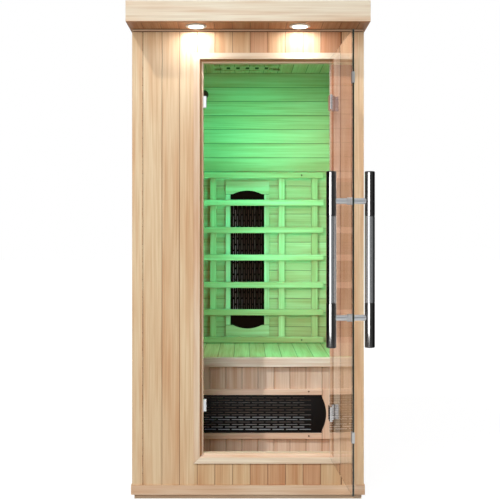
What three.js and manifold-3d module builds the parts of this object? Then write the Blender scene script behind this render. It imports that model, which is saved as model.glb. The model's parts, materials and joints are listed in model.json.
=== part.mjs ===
// One-person infrared sauna cabin with a hinged glass door, in millimetres.
// Frame: +Z up, the front faces -Y, the origin lies on the ground below the middle of the cabin.
// The glass door is stored swung open, as it stands when somebody is about to step in.

import * as THREE from "three";
import { mergeVertices } from "three/addons/utils/BufferGeometryUtils.js";
import Module from "manifold-3d";

const wasm = await Module();
wasm.setup();

// Driving dimensions: cabin shell
const cabinWidth = 900;
const cabinDepth = 900;
const cabinHeight = 1903;
const wallThickness = 41;
const runnerHeight = 18;
const runnerWidth = 60;
const runnerSetback = 12;
const runnerCount = 3;
const floorThickness = 38;
const floorOverhang = 4;
const boardPitch = 68.5;
const boardJointOffset = 8.6;
const grooveWidth = 3;
const grooveDepth = 2;

// Driving dimensions: crown, ceiling and roof
const crownHeight = 79;
const crownReach = 130;
const crownSideOverhang = 8;
const crownBoard = 18;
const soffitThickness = 12;
const mouldingSize = 10;
const mouldingEndGap = 4;
const ceilingDrop = 12;
const ceilingThickness = 24;
const roofCoverThickness = 8;
const roofCoverBearing = 8;
const crownKey = 10;

// Driving dimensions: front panel and door frame
const leftPanelWidth = 198;
const rightPanelWidth = 47;
const sillPanelHeight = 83;
const headerPanelHeight = 91;
const casingFlat = 24;
const casingProud = 5;
const revealWidth = 7;
const stopWidth = 6;
const stopSetback = 16;

// Driving dimensions: glass door, hinges, handles and catches
const doorOpenDegrees = 93;
const glassThickness = 6;
const glassSideGap = 2;
const glassHingeGap = 5;
const glassEndLap = 1.5;
const glassSetback = 1;
const hingeFromTop = 168;
const hingeFromBottom = 172;
const hingeAxisOutside = 4;
const hingeAxisForward = 14;
const barrelRadius = 7;
const hingeHeight = 57;
const middleKnuckle = 26;
const pinRadius = 3;
const pinHeadRadius = 4.5;
const pinHeadHeight = 2;
const leafPlate = 3;
const leafBridge = 6;
const leafFromAxis = 8;
const leafWidth = 13;
const clampPlate = 4;
const clampReach = 42;
const handleDiameter = 34;
const handleLength = 590;
const handleBottom = 650;
const handlePostSpacing = 390;
const handleFromEdge = 53;
const handleClear = 45;
const handleEndRadius = 3;
const standoffDiameter = 20;
const collarDiameter = 26;
const collarLength = 9;
const studDiameter = 8;
const studReach = 15;
const glassHoleDiameter = 12;
const catchFromTop = 157;
const catchFromBottom = 191;
const magnetHeight = 45;
const magnetWidth = 12;
const magnetDepth = 24;
const magnetLead = 5;
const magnetCorner = 3;
const strikeHeight = 36;
const strikeReach = 20;
const strikePlate = 1.5;

// Driving dimensions: bench and backrest
const seatHeight = 448;
const seatThickness = 18;
const benchDepth = 534;
const nosingHeight = 40;
const nosingDepth = 35;
const nosingLip = 18;
const nosingRound = 6;
const benchPanelSetback = 17;
const benchPanelThickness = 18;
const benchJointOffset = 44;
const ledgerHeight = 40;
const ledgerDepth = 30;
const slatCount = 7;
const slatPitch = 132;
const slatHeight = 29;
const slatThickness = 18;
const slatEndGap = 42;
const slatSeatGap = 2;
const slatChamfer = 3;
const postWidth = 29;
const postDepth = 30;
const outerPostInset = 42;
const innerPostGap = 45.5;

// Driving dimensions: the two infrared heaters, both of one pattern
const heaterSideGap = 30;
const heaterEndRail = 44;
const heaterSideRail = 23.5;
const heaterFrameThickness = 14;
const heaterOpeningWidth = 164;
const heaterEndBulge = 19;
const heaterEndShoulder = 9;
const heaterEndSteps = 14;
const grilleEndLap = 15;
const grilleSideLap = 9.5;
const grilleThickness = 2;
const slotEndMargin = 60;
const slotSideMargin = 7.5;
const slotWeb = 9;
const slotWidth = 4;
const slotPitch = 58;
const slotRowPitch = 10.4;
const trayDepth = 29;
const trayWall = 1.5;
const rodRadius = 8;
const rodSpacing = 76;
const backHeaterSeatGap = 23;
const legHeaterFloorGap = 101;

// Driving dimensions: vent, lamps and electrics
const ventY = 242;
const ventHoles = 5;
const ventHoleWidth = 17;
const ventHoleLength = 62;
const ventHolePitch = 44.5;
const ventSliderLength = 240;
const ventSliderWidth = 95;
const ventSliderThickness = 6;
const ventRailLength = 310;
const ventRailWidth = 10;
const ventLip = 5;
const ventLipThickness = 4;
const ventKnobDiameter = 16;
const ventKnobNeckDiameter = 10;
const ventKnobHeight = 14;
const ventKnobEdge = 2;
const ventKnobTenon = 5;
const downlightOffset = 198;
const downlightCrownGap = 15;
const downlightMouldingGap = 7;
const downlightFlange = 10;
const downlightLensInset = 1;
const downlightRingHeight = 4;
const downlightCanHeight = 36;
const downlightLensRecess = 1.5;
const downlightRingRound = 2;
const colourLightDiameter = 140;
const colourLightFaceDiameter = 98;
const colourLightHeight = 12;
const colourLightY = 70;
const controlBoxLength = 220;
const controlBoxWidth = 140;
const controlBoxHeadroom = 8;
const controlBoxSideGap = 79;
const controlPanelSideGap = 39.5;
const controlPanelThickness = 16;
const controlPanelHeight = 160;
const controlPanelDrop = 582;
const controlPanelRecess = 2;
const controlPanelBorder = 12;
const boxCorner = 10;
const sensorDiameter = 42;
const sensorFaceDiameter = 8;
const sensorDepth = 16;
const sensorX = -210;
const sensorDrop = 104;
const glandThreadDiameter = 20;
const glandNutDiameter = 30;
const glandNutHeight = 6;
const glandFlangeDiameter = 32;
const glandFlangeHeight = 6;
const glandDomeHeight = 18;
const glandDomeDiameter = 24;
const glandMouthDiameter = 14;
const glandDomeRound = 4;
const glandTail = 3;
const glandBoreDiameter = 10;

// Clearances: sliding pieces, loose fits in wood, and pieces set against each other in the turned door
const slideGap = 0.5;
const woodGap = 1;
const setGap = 0.3;

// Cutters run this far past the faces they cut; fused pieces reach to the bottom of a board's grooves
const cutPast = 1;
const fuseDepth = grooveDepth;

// Sides of round pieces, and steps of small arcs
const barSides = 24;
const roundSides = 20;
const smallSides = 16;
const rodSides = 12;
const arcSteps = 3;

// Derived planes
const halfWidth = cabinWidth / 2;
const front = -cabinDepth / 2;
const back = cabinDepth / 2;
const innerX = halfWidth - wallThickness;
const innerFront = front + wallThickness;
const innerBack = back - wallThickness;
const floorTop = runnerHeight + floorThickness;
const wallTop = cabinHeight - crownHeight;
const ceilingZ = wallTop - ceilingDrop;
const frameRight = innerX - rightPanelWidth;
const frameLeft = leftPanelWidth - innerX;
const frameBottom = floorTop + sillPanelHeight;
const frameTop = wallTop - headerPanelHeight;
const casingWidth = casingFlat + revealWidth;
const openingRight = frameRight - casingWidth;
const openingLeft = frameLeft + casingWidth;
const openingBottom = frameBottom + casingWidth;
const openingTop = frameTop - casingWidth;
const casingFace = front - casingProud;
const seatTop = floorTop + seatHeight;
const nosingFront = innerBack - benchDepth;
const nosingBottom = seatTop - nosingHeight;
const seatUnderside = seatTop - seatThickness;
const benchPanelFront = nosingFront + benchPanelSetback;
const benchX = innerX - woodGap;
const slatBack = innerBack - postDepth;
const crownFront = front - crownReach;
const crownX = halfWidth + crownSideOverhang;
const crownInnerX = crownX - crownBoard;
const crownInnerFront = crownFront + crownBoard;
const crownInnerBack = back - crownBoard;
const deckTop = wallTop + ceilingThickness;
const roofCoverZ = cabinHeight - roofCoverThickness;
const controlBoxX = crownInnerX - controlBoxSideGap - controlBoxLength / 2;
const glandX = controlBoxX;
const glandHeight = (deckTop + roofCoverZ) / 2;
const heaterFrameLength = 2 * (innerX - heaterSideGap);
const heaterFrameWidth = heaterOpeningWidth + 2 * heaterSideRail;
const heaterOpeningLength = heaterFrameLength - 2 * heaterEndRail;
const grilleLength = heaterOpeningLength + 2 * grilleEndLap;
const grilleWidth = heaterOpeningWidth + 2 * grilleSideLap;
const slotRows = Math.floor((heaterOpeningWidth - 2 * slotSideMargin) / slotRowPitch);
const slotsPerRow = Math.floor((heaterOpeningLength - 2 * slotEndMargin) / slotPitch);
const backHeaterHeight = seatTop + backHeaterSeatGap + heaterFrameLength / 2;
const legHeaterHeight = floorTop + legHeaterFloorGap + heaterFrameWidth / 2;
const hingeHeights = { upper: openingTop - hingeFromTop, lower: openingBottom + hingeFromBottom };
const catchHeights = { upper: openingTop - catchFromTop, lower: openingBottom + catchFromBottom };

// Finishes
const finish = (color, roughness, metalness = 0) =>
  new THREE.MeshStandardMaterial({ color, roughness, metalness });
const hemlock = finish(0xdcc09a, 0.6);
const hemlockWarm = finish(0xcfa983, 0.6);
const hemlockPale = finish(0xe4cfb2, 0.6);
const blackSteel = finish(0x141313, 0.55, 0.3);
const reflector = finish(0xb9b9b6, 0.35, 1);
const chrome = finish(0xd8dadb, 0.12, 1);
const blackPlastic = finish(0x1c1d1f, 0.45);
const whitePlastic = finish(0xeceae6, 0.4);
const galvanised = finish(0xaeb2b4, 0.45, 1);
const lampGlass = finish(0xfff4dd, 0.3);
const glass = new THREE.MeshStandardMaterial({
  color: 0xdfe9e4,
  roughness: 0.03,
  transparent: true,
  opacity: 0.3,
});

const sauna = new THREE.Group();

function addPart(name, geometry, material, parent = sauna) {
  const mesh = new THREE.Mesh(geometry, material);
  mesh.name = name;
  parent.add(mesh);
}

// Solids: a closed geometry becomes a manifold solid, and a solid becomes a geometry again
function toSolid(geometry) {
  const bare = geometry.clone();
  bare.deleteAttribute("normal");
  bare.deleteAttribute("uv");
  const merged = mergeVertices(bare, 1e-4);
  return new wasm.Manifold(
    new wasm.Mesh({
      numProp: 3,
      vertProperties: merged.attributes.position.array,
      triVerts: new Uint32Array(merged.index.array),
    }),
  );
}

function toGeometry(solid) {
  const mesh = solid.getMesh();
  const geometry = new THREE.BufferGeometry();
  geometry.setAttribute("position", new THREE.BufferAttribute(mesh.vertProperties, 3));
  geometry.setIndex(new THREE.BufferAttribute(mesh.triVerts, 1));
  return geometry;
}

const cut = (base, ...tools) =>
  toGeometry(tools.reduce((solid, tool) => solid.subtract(toSolid(tool)), toSolid(base)));
const join = (base, ...more) =>
  toGeometry(more.reduce((solid, piece) => solid.add(toSolid(piece)), toSolid(base)));

// Moves every vertex to the place a function gives it, then makes all faces point outwards
function remap(geometry, place) {
  const loose = geometry.index ? geometry.toNonIndexed() : geometry;
  const position = loose.getAttribute("position");
  for (let i = 0; i < position.count; i++) {
    position.setXYZ(i, ...place(position.getX(i), position.getY(i), position.getZ(i)));
  }
  return outward(loose);
}

function outward(geometry) {
  const position = geometry.getAttribute("position");
  const corner = (i) => new THREE.Vector3().fromBufferAttribute(position, i);
  let volume = 0;
  for (let i = 0; i < position.count; i += 3) {
    volume += corner(i).dot(corner(i + 1).cross(corner(i + 2)));
  }
  for (let i = 0; volume < 0 && i < position.count; i += 3) {
    const [first, second] = [corner(i), corner(i + 1)];
    position.setXYZ(i, ...second);
    position.setXYZ(i + 1, ...first);
  }
  return geometry;
}

function box([x0, x1], [y0, y1], [z0, z1]) {
  const pick = (t, low, high) => (t < 0 ? low : high);
  return remap(new THREE.BoxGeometry(1, 1, 1), (x, y, z) => [
    pick(x, x0, x1),
    pick(y, y0, y1),
    pick(z, z0, z1),
  ]);
}

// Extrusions of an outline: along Z it is drawn in (x, y), along X in (y, z), along Y in (z, x)
const outline = (points) => new THREE.Shape(points.map(([a, b]) => new THREE.Vector2(a, b)));
const swapped = (points) => points.map(([a, b]) => [b, a]);

function extrude(shape, low, high, place) {
  const options = { depth: 1, bevelEnabled: false, curveSegments: arcSteps };
  const made = new THREE.ExtrudeGeometry(shape, options);
  return remap(made, (a, b, c) => place(a, b, c < 0.5 ? low : high));
}
const alongZ = (shape, low, high) => extrude(shape, low, high, (a, b, c) => [a, b, c]);
const alongX = (shape, low, high) => extrude(shape, low, high, (a, b, c) => [c, a, b]);
const alongY = (shape, low, high) => extrude(shape, low, high, (a, b, c) => [b, c, a]);

// Turned pieces: a profile of (radius, height) pairs about an axis through the given point
function revolve(profile, segments, place) {
  const points = profile.map(([r, h]) => new THREE.Vector2(r, h));
  return remap(new THREE.LatheGeometry(points, segments), place);
}
const turnedZ = (profile, n, x, y) => revolve(profile, n, (a, b, c) => [x + c, y + a, b]);
const turnedY = (profile, n, x, z) => revolve(profile, n, (a, b, c) => [x + a, b, z + c]);
const rodProfile = (radius, low, high) => [[0, low], [radius, low], [radius, high], [0, high]];
const rodZ = (radius, low, high, n, x, y) => turnedZ(rodProfile(radius, low, high), n, x, y);
const rodY = (radius, low, high, n, x, z) => turnedY(rodProfile(radius, low, high), n, x, z);

// Profile of a disc whose face is flat in the middle and rounds over to its rim
function roundedDisc(faceRadius, radius, face, seat) {
  const edge = Array.from({ length: arcSteps + 1 }, (_, i) => {
    const angle = (i * Math.PI) / 2 / (arcSteps + 1);
    const across = (radius - faceRadius) * Math.sin(angle);
    return [faceRadius + across, seat + (face - seat) * Math.cos(angle)];
  });
  return [[0, face], ...edge, [radius, seat], [0, seat]];
}

function roundedRectangle([a0, a1], [b0, b1], r) {
  const shape = new THREE.Shape();
  shape.absarc(a1 - r, b0 + r, r, -Math.PI / 2, 0);
  shape.absarc(a1 - r, b1 - r, r, 0, Math.PI / 2);
  shape.absarc(a0 + r, b1 - r, r, Math.PI / 2, Math.PI);
  shape.absarc(a0 + r, b0 + r, r, Math.PI, 1.5 * Math.PI);
  return shape;
}

// Tongue-and-groove boarding: joints one board width apart, each a V groove in the face
function jointsBetween(low, high, origin) {
  const found = [];
  const margin = 4 * grooveWidth;
  const first = Math.ceil((low + margin - origin) / boardPitch);
  for (let at = origin + first * boardPitch; at < high - margin; at += boardPitch) {
    found.push(at);
  }
  return found;
}

// Section of a boarded panel in (u, v): the grooved face lies at v = face, the plain one at v = rear
function boardSection([u0, u1], face, rear, origin = boardJointOffset) {
  const tip = face + Math.sign(rear - face) * grooveDepth;
  const grooves = jointsBetween(u0, u1, origin).flatMap((u) => [
    [u - grooveWidth / 2, face],
    [u, tip],
    [u + grooveWidth / 2, face],
  ]);
  return [[u0, rear], [u0, face], ...grooves, [u1, face], [u1, rear]];
}

// Cutter for one lining groove in (z, n), where n runs into the wall from its inner face
function grooveCutter(z, face, inward) {
  const outside = face - inward * grooveDepth;
  return [
    [z - grooveWidth, outside],
    [z, face + inward * grooveDepth],
    [z + grooveWidth, outside],
  ];
}

const liningJoints = (low, high) => jointsBetween(low, high, ceilingZ);

// Floor panel on its runners
function floorPanel() {
  const x = halfWidth + floorOverhang;
  const y = back + floorOverhang;
  const deck = alongY(outline(swapped(boardSection([-x, x], floorTop, runnerHeight))), -y, y);
  const end = x - runnerSetback;
  const reach = y - runnerSetback - runnerWidth / 2;
  const runners = Array.from({ length: runnerCount }, (_, i) => {
    const middle = reach * ((2 * i) / (runnerCount - 1) - 1);
    const across = [middle - runnerWidth / 2, middle + runnerWidth / 2];
    return box([-end, end], across, [0, runnerHeight + fuseDepth]);
  });
  return join(deck, ...runners);
}
addPart("floor_panel", floorPanel(), hemlock);

// Side walls run the full depth, so their edges show at the front beside the front panel
function sideWall(side) {
  const section = boardSection([front, back], side * halfWidth, side * innerX, 0);
  const wall = alongZ(outline(swapped(section)), floorTop, wallTop);
  const grooves = liningJoints(floorTop, ceilingZ).map((z) =>
    alongY(outline(grooveCutter(z, side * innerX, side)), innerFront, innerBack),
  );
  return cut(wall, ...grooves);
}
addPart("left_wall", sideWall(-1), hemlock);
addPart("right_wall", sideWall(1), hemlock);

// Roof cover, and the rebate it lies in
const roofCoverReach = (gap) => {
  const x = crownInnerX + roofCoverBearing + gap;
  const y = [crownInnerFront - roofCoverBearing - gap, crownInnerBack + roofCoverBearing + gap];
  return box([-x, x], y, [roofCoverZ, cabinHeight + gap]);
};
addPart("roof_cover", roofCoverReach(0), hemlockWarm);
const roofRebate = roofCoverReach(slideGap);

// Back wall with its heater pocket, the ledger that carries the seat and the board behind the crown
function backWall() {
  const section = boardSection([-innerX, innerX], back, innerBack);
  const wall = alongZ(outline(section), floorTop, wallTop);
  const grooves = liningJoints(floorTop, ceilingZ).map((z) =>
    alongX(outline(swapped(grooveCutter(z, innerBack, 1))), -innerX - cutPast, innerX + cutPast),
  );
  const pocketX = grilleWidth / 2 + woodGap;
  const pocketZ = grilleLength / 2 + woodGap;
  const pocket = box(
    [-pocketX, pocketX],
    [innerBack - cutPast, innerBack + grilleThickness + trayDepth + woodGap],
    [backHeaterHeight - pocketZ, backHeaterHeight + pocketZ],
  );
  const ledger = box(
    [-innerX, innerX],
    [innerBack - ledgerDepth, innerBack + fuseDepth],
    [seatUnderside - ledgerHeight, seatUnderside],
  );
  const crownBack = alongY(
    outline([
      [wallTop - crownKey, -innerX],
      [wallTop - crownKey, innerX],
      [wallTop, innerX],
      [wallTop, crownInnerX],
      [cabinHeight, crownInnerX],
      [cabinHeight, -crownInnerX],
      [wallTop, -crownInnerX],
      [wallTop, -innerX],
    ]),
    crownInnerBack,
    back,
  );
  const holeRadius = glandThreadDiameter / 2 + setGap;
  const depth = [crownInnerBack - cutPast, back + cutPast];
  const glandHole = rodY(holeRadius, ...depth, roundSides, glandX, glandHeight);
  return cut(join(cut(wall, ...grooves, pocket), ledger, crownBack), glandHole, roofRebate);
}
addPart("back_wall", backWall(), hemlock);

// Front panel: four boarded sections round the door frame
function frontSection([x0, x1], [z0, z1]) {
  const panel = alongZ(outline(boardSection([x0, x1], front, innerFront)), z0, z1);
  const grooves = liningJoints(z0, z1).map((z) =>
    alongX(outline(swapped(grooveCutter(z, innerFront, -1))), x0 - cutPast, x1 + cutPast),
  );
  return cut(panel, ...grooves);
}
addPart("front_panel_left", frontSection([-innerX, frameLeft], [floorTop, wallTop]), hemlock);
addPart("front_panel_right", frontSection([frameRight, innerX], [floorTop, wallTop]), hemlock);
addPart("front_panel_header", frontSection([frameLeft, frameRight], [frameTop, wallTop]), hemlock);
addPart("front_panel_sill", frontSection([frameLeft, frameRight], [floorTop, frameBottom]), hemlock);

// Door frame: one moulded section of flat casing, sloping reveal and stop, mitred round the opening.
// In the section p runs inwards from the frame's outer edge and q is the depth in Y.
const frameSection = [
  [0, innerFront],
  [0, casingFace],
  [casingFlat, casingFace],
  [casingWidth, front + stopSetback],
  [casingWidth + stopWidth, front + stopSetback],
  [casingWidth + stopWidth, innerFront],
];

function mitredBar(start, end) {
  const n = frameSection.length;
  const ring = frameSection.map(([p, q]) => new THREE.Vector2(p, q));
  const points = [...frameSection.map(start), ...frameSection.map(end)];
  const triangles = [];
  for (const [a, b, c] of THREE.ShapeUtils.triangulateShape(ring, [])) {
    triangles.push(c, b, a, n + a, n + b, n + c);
  }
  for (let i = 0; i < n; i++) {
    const next = (i + 1) % n;
    triangles.push(i, next, n + next, i, n + next, n + i);
  }
  const geometry = new THREE.BufferGeometry();
  const corners = triangles.flatMap((i) => points[i]);
  geometry.setAttribute("position", new THREE.Float32BufferAttribute(corners, 3));
  return outward(geometry);
}
const bottomLeft = ([p, q]) => [frameLeft + p, q, frameBottom + p];
const bottomRight = ([p, q]) => [frameRight - p, q, frameBottom + p];
const topLeft = ([p, q]) => [frameLeft + p, q, frameTop - p];
const topRight = ([p, q]) => [frameRight - p, q, frameTop - p];
addPart("door_frame_left", mitredBar(bottomLeft, topLeft), hemlockWarm);
addPart("door_frame_right", mitredBar(bottomRight, topRight), hemlockWarm);
addPart("door_frame_head", mitredBar(topLeft, topRight), hemlockWarm);
addPart("door_frame_sill", mitredBar(bottomLeft, bottomRight), hemlockWarm);

// Crown boards, mitred at the front corners and rebated for the roof cover
function crownPart(points) {
  return cut(alongZ(outline(points), wallTop, cabinHeight), roofRebate);
}
const crownSide = (side) => [
  [side * crownX, crownFront],
  [side * crownInnerX, crownInnerFront],
  [side * crownInnerX, back],
  [side * crownX, back],
];
const crownFace = [
  [-crownX, crownFront],
  [crownX, crownFront],
  [crownInnerX, crownInnerFront],
  [-crownInnerX, crownInnerFront],
];
addPart("crown_front", crownPart(crownFace), hemlockPale);
addPart("crown_left", crownPart(crownSide(-1)), hemlockPale);
addPart("crown_right", crownPart(crownSide(1)), hemlockPale);

// Soffit boards under the crown's front, with the two lamps let into them
const soffitDepth = crownReach - crownBoard - mouldingSize;
const downlightRing = (soffitDepth - downlightCrownGap - downlightMouldingGap) / 2;
const downlightCan = downlightRing - downlightFlange;
const downlightLens = downlightCan - downlightLensInset;
const downlightY = crownInnerFront + downlightCrownGap + downlightRing;

function crownSoffit() {
  const section = boardSection([-crownInnerX, crownInnerX], wallTop, wallTop + soffitThickness);
  const boards = alongY(outline(swapped(section)), crownInnerFront, front);
  const holes = [-1, 1].map((side) =>
    rodZ(
      downlightCan + slideGap,
      wallTop - cutPast,
      wallTop + soffitThickness + cutPast,
      roundSides,
      side * downlightOffset,
      downlightY,
    ),
  );
  return cut(boards, ...holes);
}
addPart("crown_soffit", crownSoffit(), hemlockPale);

function downlight(side) {
  const bottom = wallTop - downlightRingHeight;
  const profile = [
    [0, bottom + downlightLensRecess],
    [downlightLens, bottom + downlightLensRecess],
    [downlightLens + downlightLensRecess, bottom],
    [downlightRing - downlightRingRound, bottom],
    [downlightRing, bottom + downlightRingRound],
    [downlightRing, wallTop],
    [downlightCan, wallTop],
    [downlightCan, wallTop + downlightCanHeight],
    [0, wallTop + downlightCanHeight],
  ];
  return turnedZ(profile, roundSides, side * downlightOffset, downlightY);
}
addPart("downlight_left", downlight(-1), lampGlass);
addPart("downlight_right", downlight(1), lampGlass);

// Quarter-round moulding in the corner between the front panel and the soffit
function crownMoulding() {
  const shape = new THREE.Shape();
  shape.moveTo(front, wallTop);
  shape.absarc(front, wallTop, mouldingSize, Math.PI, 1.5 * Math.PI);
  const end = halfWidth - mouldingEndGap;
  return alongX(shape, -end, end);
}
addPart("crown_moulding", crownMoulding(), hemlockPale);

// Ceiling panel with the vent slots and the two rails that guide the vent slider
const ventHoleBoxes = (low, high) =>
  Array.from({ length: ventHoles }, (_, i) => {
    const x = (i - (ventHoles - 1) / 2) * ventHolePitch;
    return box(
      [x - ventHoleWidth / 2, x + ventHoleWidth / 2],
      [ventY - ventHoleLength / 2, ventY + ventHoleLength / 2],
      [low, high],
    );
  });
const sliderTop = ceilingZ - slideGap;
const sliderBottom = sliderTop - ventSliderThickness;

function ventRail(side) {
  const lipTop = sliderBottom - slideGap;
  const lipBottom = lipTop - ventLipThickness;
  const lipEdge = ventY + side * (ventSliderWidth / 2 - ventLip);
  const inner = ventY + side * (ventSliderWidth / 2 + slideGap);
  const outer = inner + side * ventRailWidth;
  const section = [
    [lipEdge, lipBottom],
    [outer, lipBottom],
    [outer, ceilingZ + fuseDepth],
    [inner, ceilingZ + fuseDepth],
    [inner, lipTop],
    [lipEdge, lipTop],
  ];
  return alongX(outline(section), -ventRailLength / 2, ventRailLength / 2);
}

function ceilingPanel() {
  const x = innerX - woodGap;
  const lining = boardSection([-x, x], ceilingZ, wallTop + crownKey);
  const boards = alongY(outline(swapped(lining)), innerFront + woodGap, innerBack - woodGap);
  const deck = box([-crownInnerX, crownInnerX], [front, crownInnerBack], [wallTop, deckTop]);
  const panel = join(boards, deck, ventRail(-1), ventRail(1));
  return cut(panel, ...ventHoleBoxes(ceilingZ - cutPast, deckTop + cutPast));
}
addPart("ceiling_panel", ceilingPanel(), hemlock);

function ventSlider() {
  const x = ventSliderLength / 2;
  const y = [ventY - ventSliderWidth / 2, ventY + ventSliderWidth / 2];
  const plate = box([-x, x], y, [sliderBottom, sliderTop]);
  const lastHole = ((ventHoles - 1) / 2) * ventHolePitch + ventHoleWidth / 2;
  const knobX = (lastHole + x) / 2;
  const knobFace = sliderBottom - ventKnobHeight;
  const knobProfile = [
    [0, knobFace],
    [ventKnobDiameter / 2 - ventKnobEdge, knobFace],
    [ventKnobDiameter / 2, knobFace + ventKnobEdge],
    [ventKnobNeckDiameter / 2, sliderBottom],
    [ventKnobNeckDiameter / 2, sliderBottom + ventKnobTenon],
    [0, sliderBottom + ventKnobTenon],
  ];
  const knob = turnedZ(knobProfile, smallSides, knobX, ventY);
  return join(cut(plate, ...ventHoleBoxes(sliderBottom - cutPast, sliderTop + cutPast)), knob);
}
addPart("vent_slider", ventSlider(), hemlockPale);

// Colour light on the ceiling
function colourLight() {
  const face = ceilingZ - colourLightHeight;
  const profile = roundedDisc(colourLightFaceDiameter / 2, colourLightDiameter / 2, face, ceilingZ);
  return turnedZ(profile, roundSides, 0, colourLightY);
}
addPart("colour_light", colourLight(), whitePlastic);

// Control box on the roof deck, and the cable gland through the board behind the crown
const controlBoxShape = roundedRectangle(
  [controlBoxX - controlBoxLength / 2, controlBoxX + controlBoxLength / 2],
  [-controlBoxWidth / 2, controlBoxWidth / 2],
  boxCorner,
);
addPart("control_box", alongZ(controlBoxShape, deckTop, roofCoverZ - controlBoxHeadroom), galvanised);

function cableGland() {
  const thread = glandThreadDiameter / 2;
  const bore = glandBoreDiameter / 2;
  const flange = back + glandFlangeHeight;
  const tip = flange + glandDomeHeight;
  const nutEnd = crownInnerBack - glandNutHeight;
  const profile = [
    [0, nutEnd - glandTail],
    [thread, nutEnd - glandTail],
    [thread, nutEnd],
    [glandNutDiameter / 2, nutEnd],
    [glandNutDiameter / 2, crownInnerBack],
    [thread, crownInnerBack],
    [thread, back],
    [glandFlangeDiameter / 2, back],
    [glandFlangeDiameter / 2, flange],
    [glandDomeDiameter / 2, flange],
    [glandDomeDiameter / 2, tip - glandDomeRound],
    [glandMouthDiameter / 2, tip],
    [bore, tip],
    [bore, flange],
    [0, flange],
  ];
  return turnedY(profile, rodSides, glandX, glandHeight);
}
addPart("cable_gland", cableGland(), blackPlastic);

// Control panel inside the cabin, beside the door
function controlPanel() {
  const face = innerFront + controlPanelThickness;
  const middle = ceilingZ - controlPanelDrop;
  const plate = (inset, corner) => {
    const z = controlPanelHeight / 2 - inset;
    const fromSide = controlPanelSideGap + inset;
    return roundedRectangle([middle - z, middle + z], [fromSide - innerX, frameLeft - fromSide], corner);
  };
  const body = alongY(plate(0, boxCorner), innerFront, face);
  const keyRecess = plate(controlPanelBorder, boxCorner / 2);
  return cut(body, alongY(keyRecess, face - controlPanelRecess, face + cutPast));
}
addPart("control_panel", controlPanel(), blackPlastic);

// Temperature sensor high on the back wall
function temperatureSensor() {
  const face = innerBack - sensorDepth;
  const profile = roundedDisc(sensorFaceDiameter / 2, sensorDiameter / 2, face, innerBack);
  return turnedY(profile, roundSides, sensorX, ceilingZ - sensorDrop);
}
addPart("temperature_sensor", temperatureSensor(), blackPlastic);

// Bench: boarded front panel, rebated nosing and seat boards
function benchFrontPanel() {
  const rear = benchPanelFront + benchPanelThickness;
  const section = boardSection([-benchX, benchX], benchPanelFront, rear, benchJointOffset);
  const panel = alongZ(outline(section), floorTop, nosingBottom);
  const x = grilleLength / 2 + woodGap;
  const z = grilleWidth / 2 + woodGap;
  const heights = [legHeaterHeight - z, legHeaterHeight + z];
  return cut(panel, box([-x, x], [benchPanelFront - cutPast, rear + cutPast], heights));
}
addPart("bench_front_panel", benchFrontPanel(), hemlockWarm);

function benchNosing() {
  const shape = outline([
    [nosingFront, nosingBottom],
    [nosingFront + nosingDepth, nosingBottom],
    [nosingFront + nosingDepth, seatUnderside],
    [nosingFront + nosingLip, seatUnderside],
    [nosingFront + nosingLip, seatTop],
  ]);
  const [roundY, roundZ] = [nosingFront + nosingRound, seatTop - nosingRound];
  shape.absarc(roundY, roundZ, nosingRound, Math.PI / 2, Math.PI);
  return alongX(shape, -benchX, benchX);
}
addPart("bench_nosing", benchNosing(), hemlockPale);

const seatSection = boardSection([-benchX, benchX], seatTop, seatUnderside);
const seat = alongY(outline(swapped(seatSection)), nosingFront + nosingLip, innerBack);
addPart("bench_seat", seat, hemlock);

// Backrest: posts on the back wall, slats across their fronts
const firstSlatZ = seatTop + slatSeatGap;
const backrestTop = firstSlatZ + slatHeight + (slatCount - 1) * slatPitch;
const slatEnd = innerX - slatEndGap;
const outerPostX = slatEnd - outerPostInset;
const innerPostX = (heaterFrameWidth + postWidth) / 2 + innerPostGap;
[-outerPostX, -innerPostX, innerPostX, outerPostX].forEach((x, i) => {
  const across = [x - postWidth / 2, x + postWidth / 2];
  const post = box(across, [slatBack, innerBack], [seatTop, backrestTop]);
  addPart(`backrest_post_${i + 1}`, post, hemlock);
});

function backrestSlat(low) {
  const high = low + slatHeight;
  const face = slatBack - slatThickness;
  const section = [
    [slatBack, low],
    [slatBack, high],
    [face + slatChamfer, high],
    [face, high - slatChamfer],
    [face, low + slatChamfer],
    [face + slatChamfer, low],
  ];
  return alongX(outline(section), -slatEnd, slatEnd);
}
for (let i = 0; i < slatCount; i++) {
  addPart(`backrest_slat_${i + 1}`, backrestSlat(firstSlatZ + i * slatPitch), hemlock);
}

// Infrared heaters in (l, w, d): along, across and into the wall behind the wooden frame
function heaterOpening() {
  const half = heaterOpeningLength / 2 - heaterEndBulge;
  const chord = heaterOpeningWidth / 2 - heaterEndShoulder;
  const radius = (chord ** 2 + heaterEndBulge ** 2) / (2 * heaterEndBulge);
  const sweep = Math.asin(chord / radius);
  const centre = half + heaterEndBulge - radius;
  const turns = Array.from({ length: heaterEndSteps + 1 }, (_, i) => sweep * ((2 * i) / heaterEndSteps - 1));
  const end = (side) => [
    [side * half, (-side * heaterOpeningWidth) / 2],
    ...turns.map((a) => [side * (centre + radius * Math.cos(a)), side * radius * Math.sin(a)]),
    [side * half, (side * heaterOpeningWidth) / 2],
  ];
  return [...end(1), ...end(-1)];
}

const rectangle = (length, width, l = 0, w = 0) => [
  [l - length / 2, w - width / 2],
  [l + length / 2, w - width / 2],
  [l + length / 2, w + width / 2],
  [l - length / 2, w + width / 2],
];

const plateInWall = (points, low, high) =>
  extrude(outline(points), low, high, (l, w, d) => [l, w, d]);

function heaterFrame(place) {
  const shape = outline(rectangle(heaterFrameLength, heaterFrameWidth));
  shape.holes.push(outline(heaterOpening()));
  return extrude(shape, -heaterFrameThickness, 0, place);
}

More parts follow.
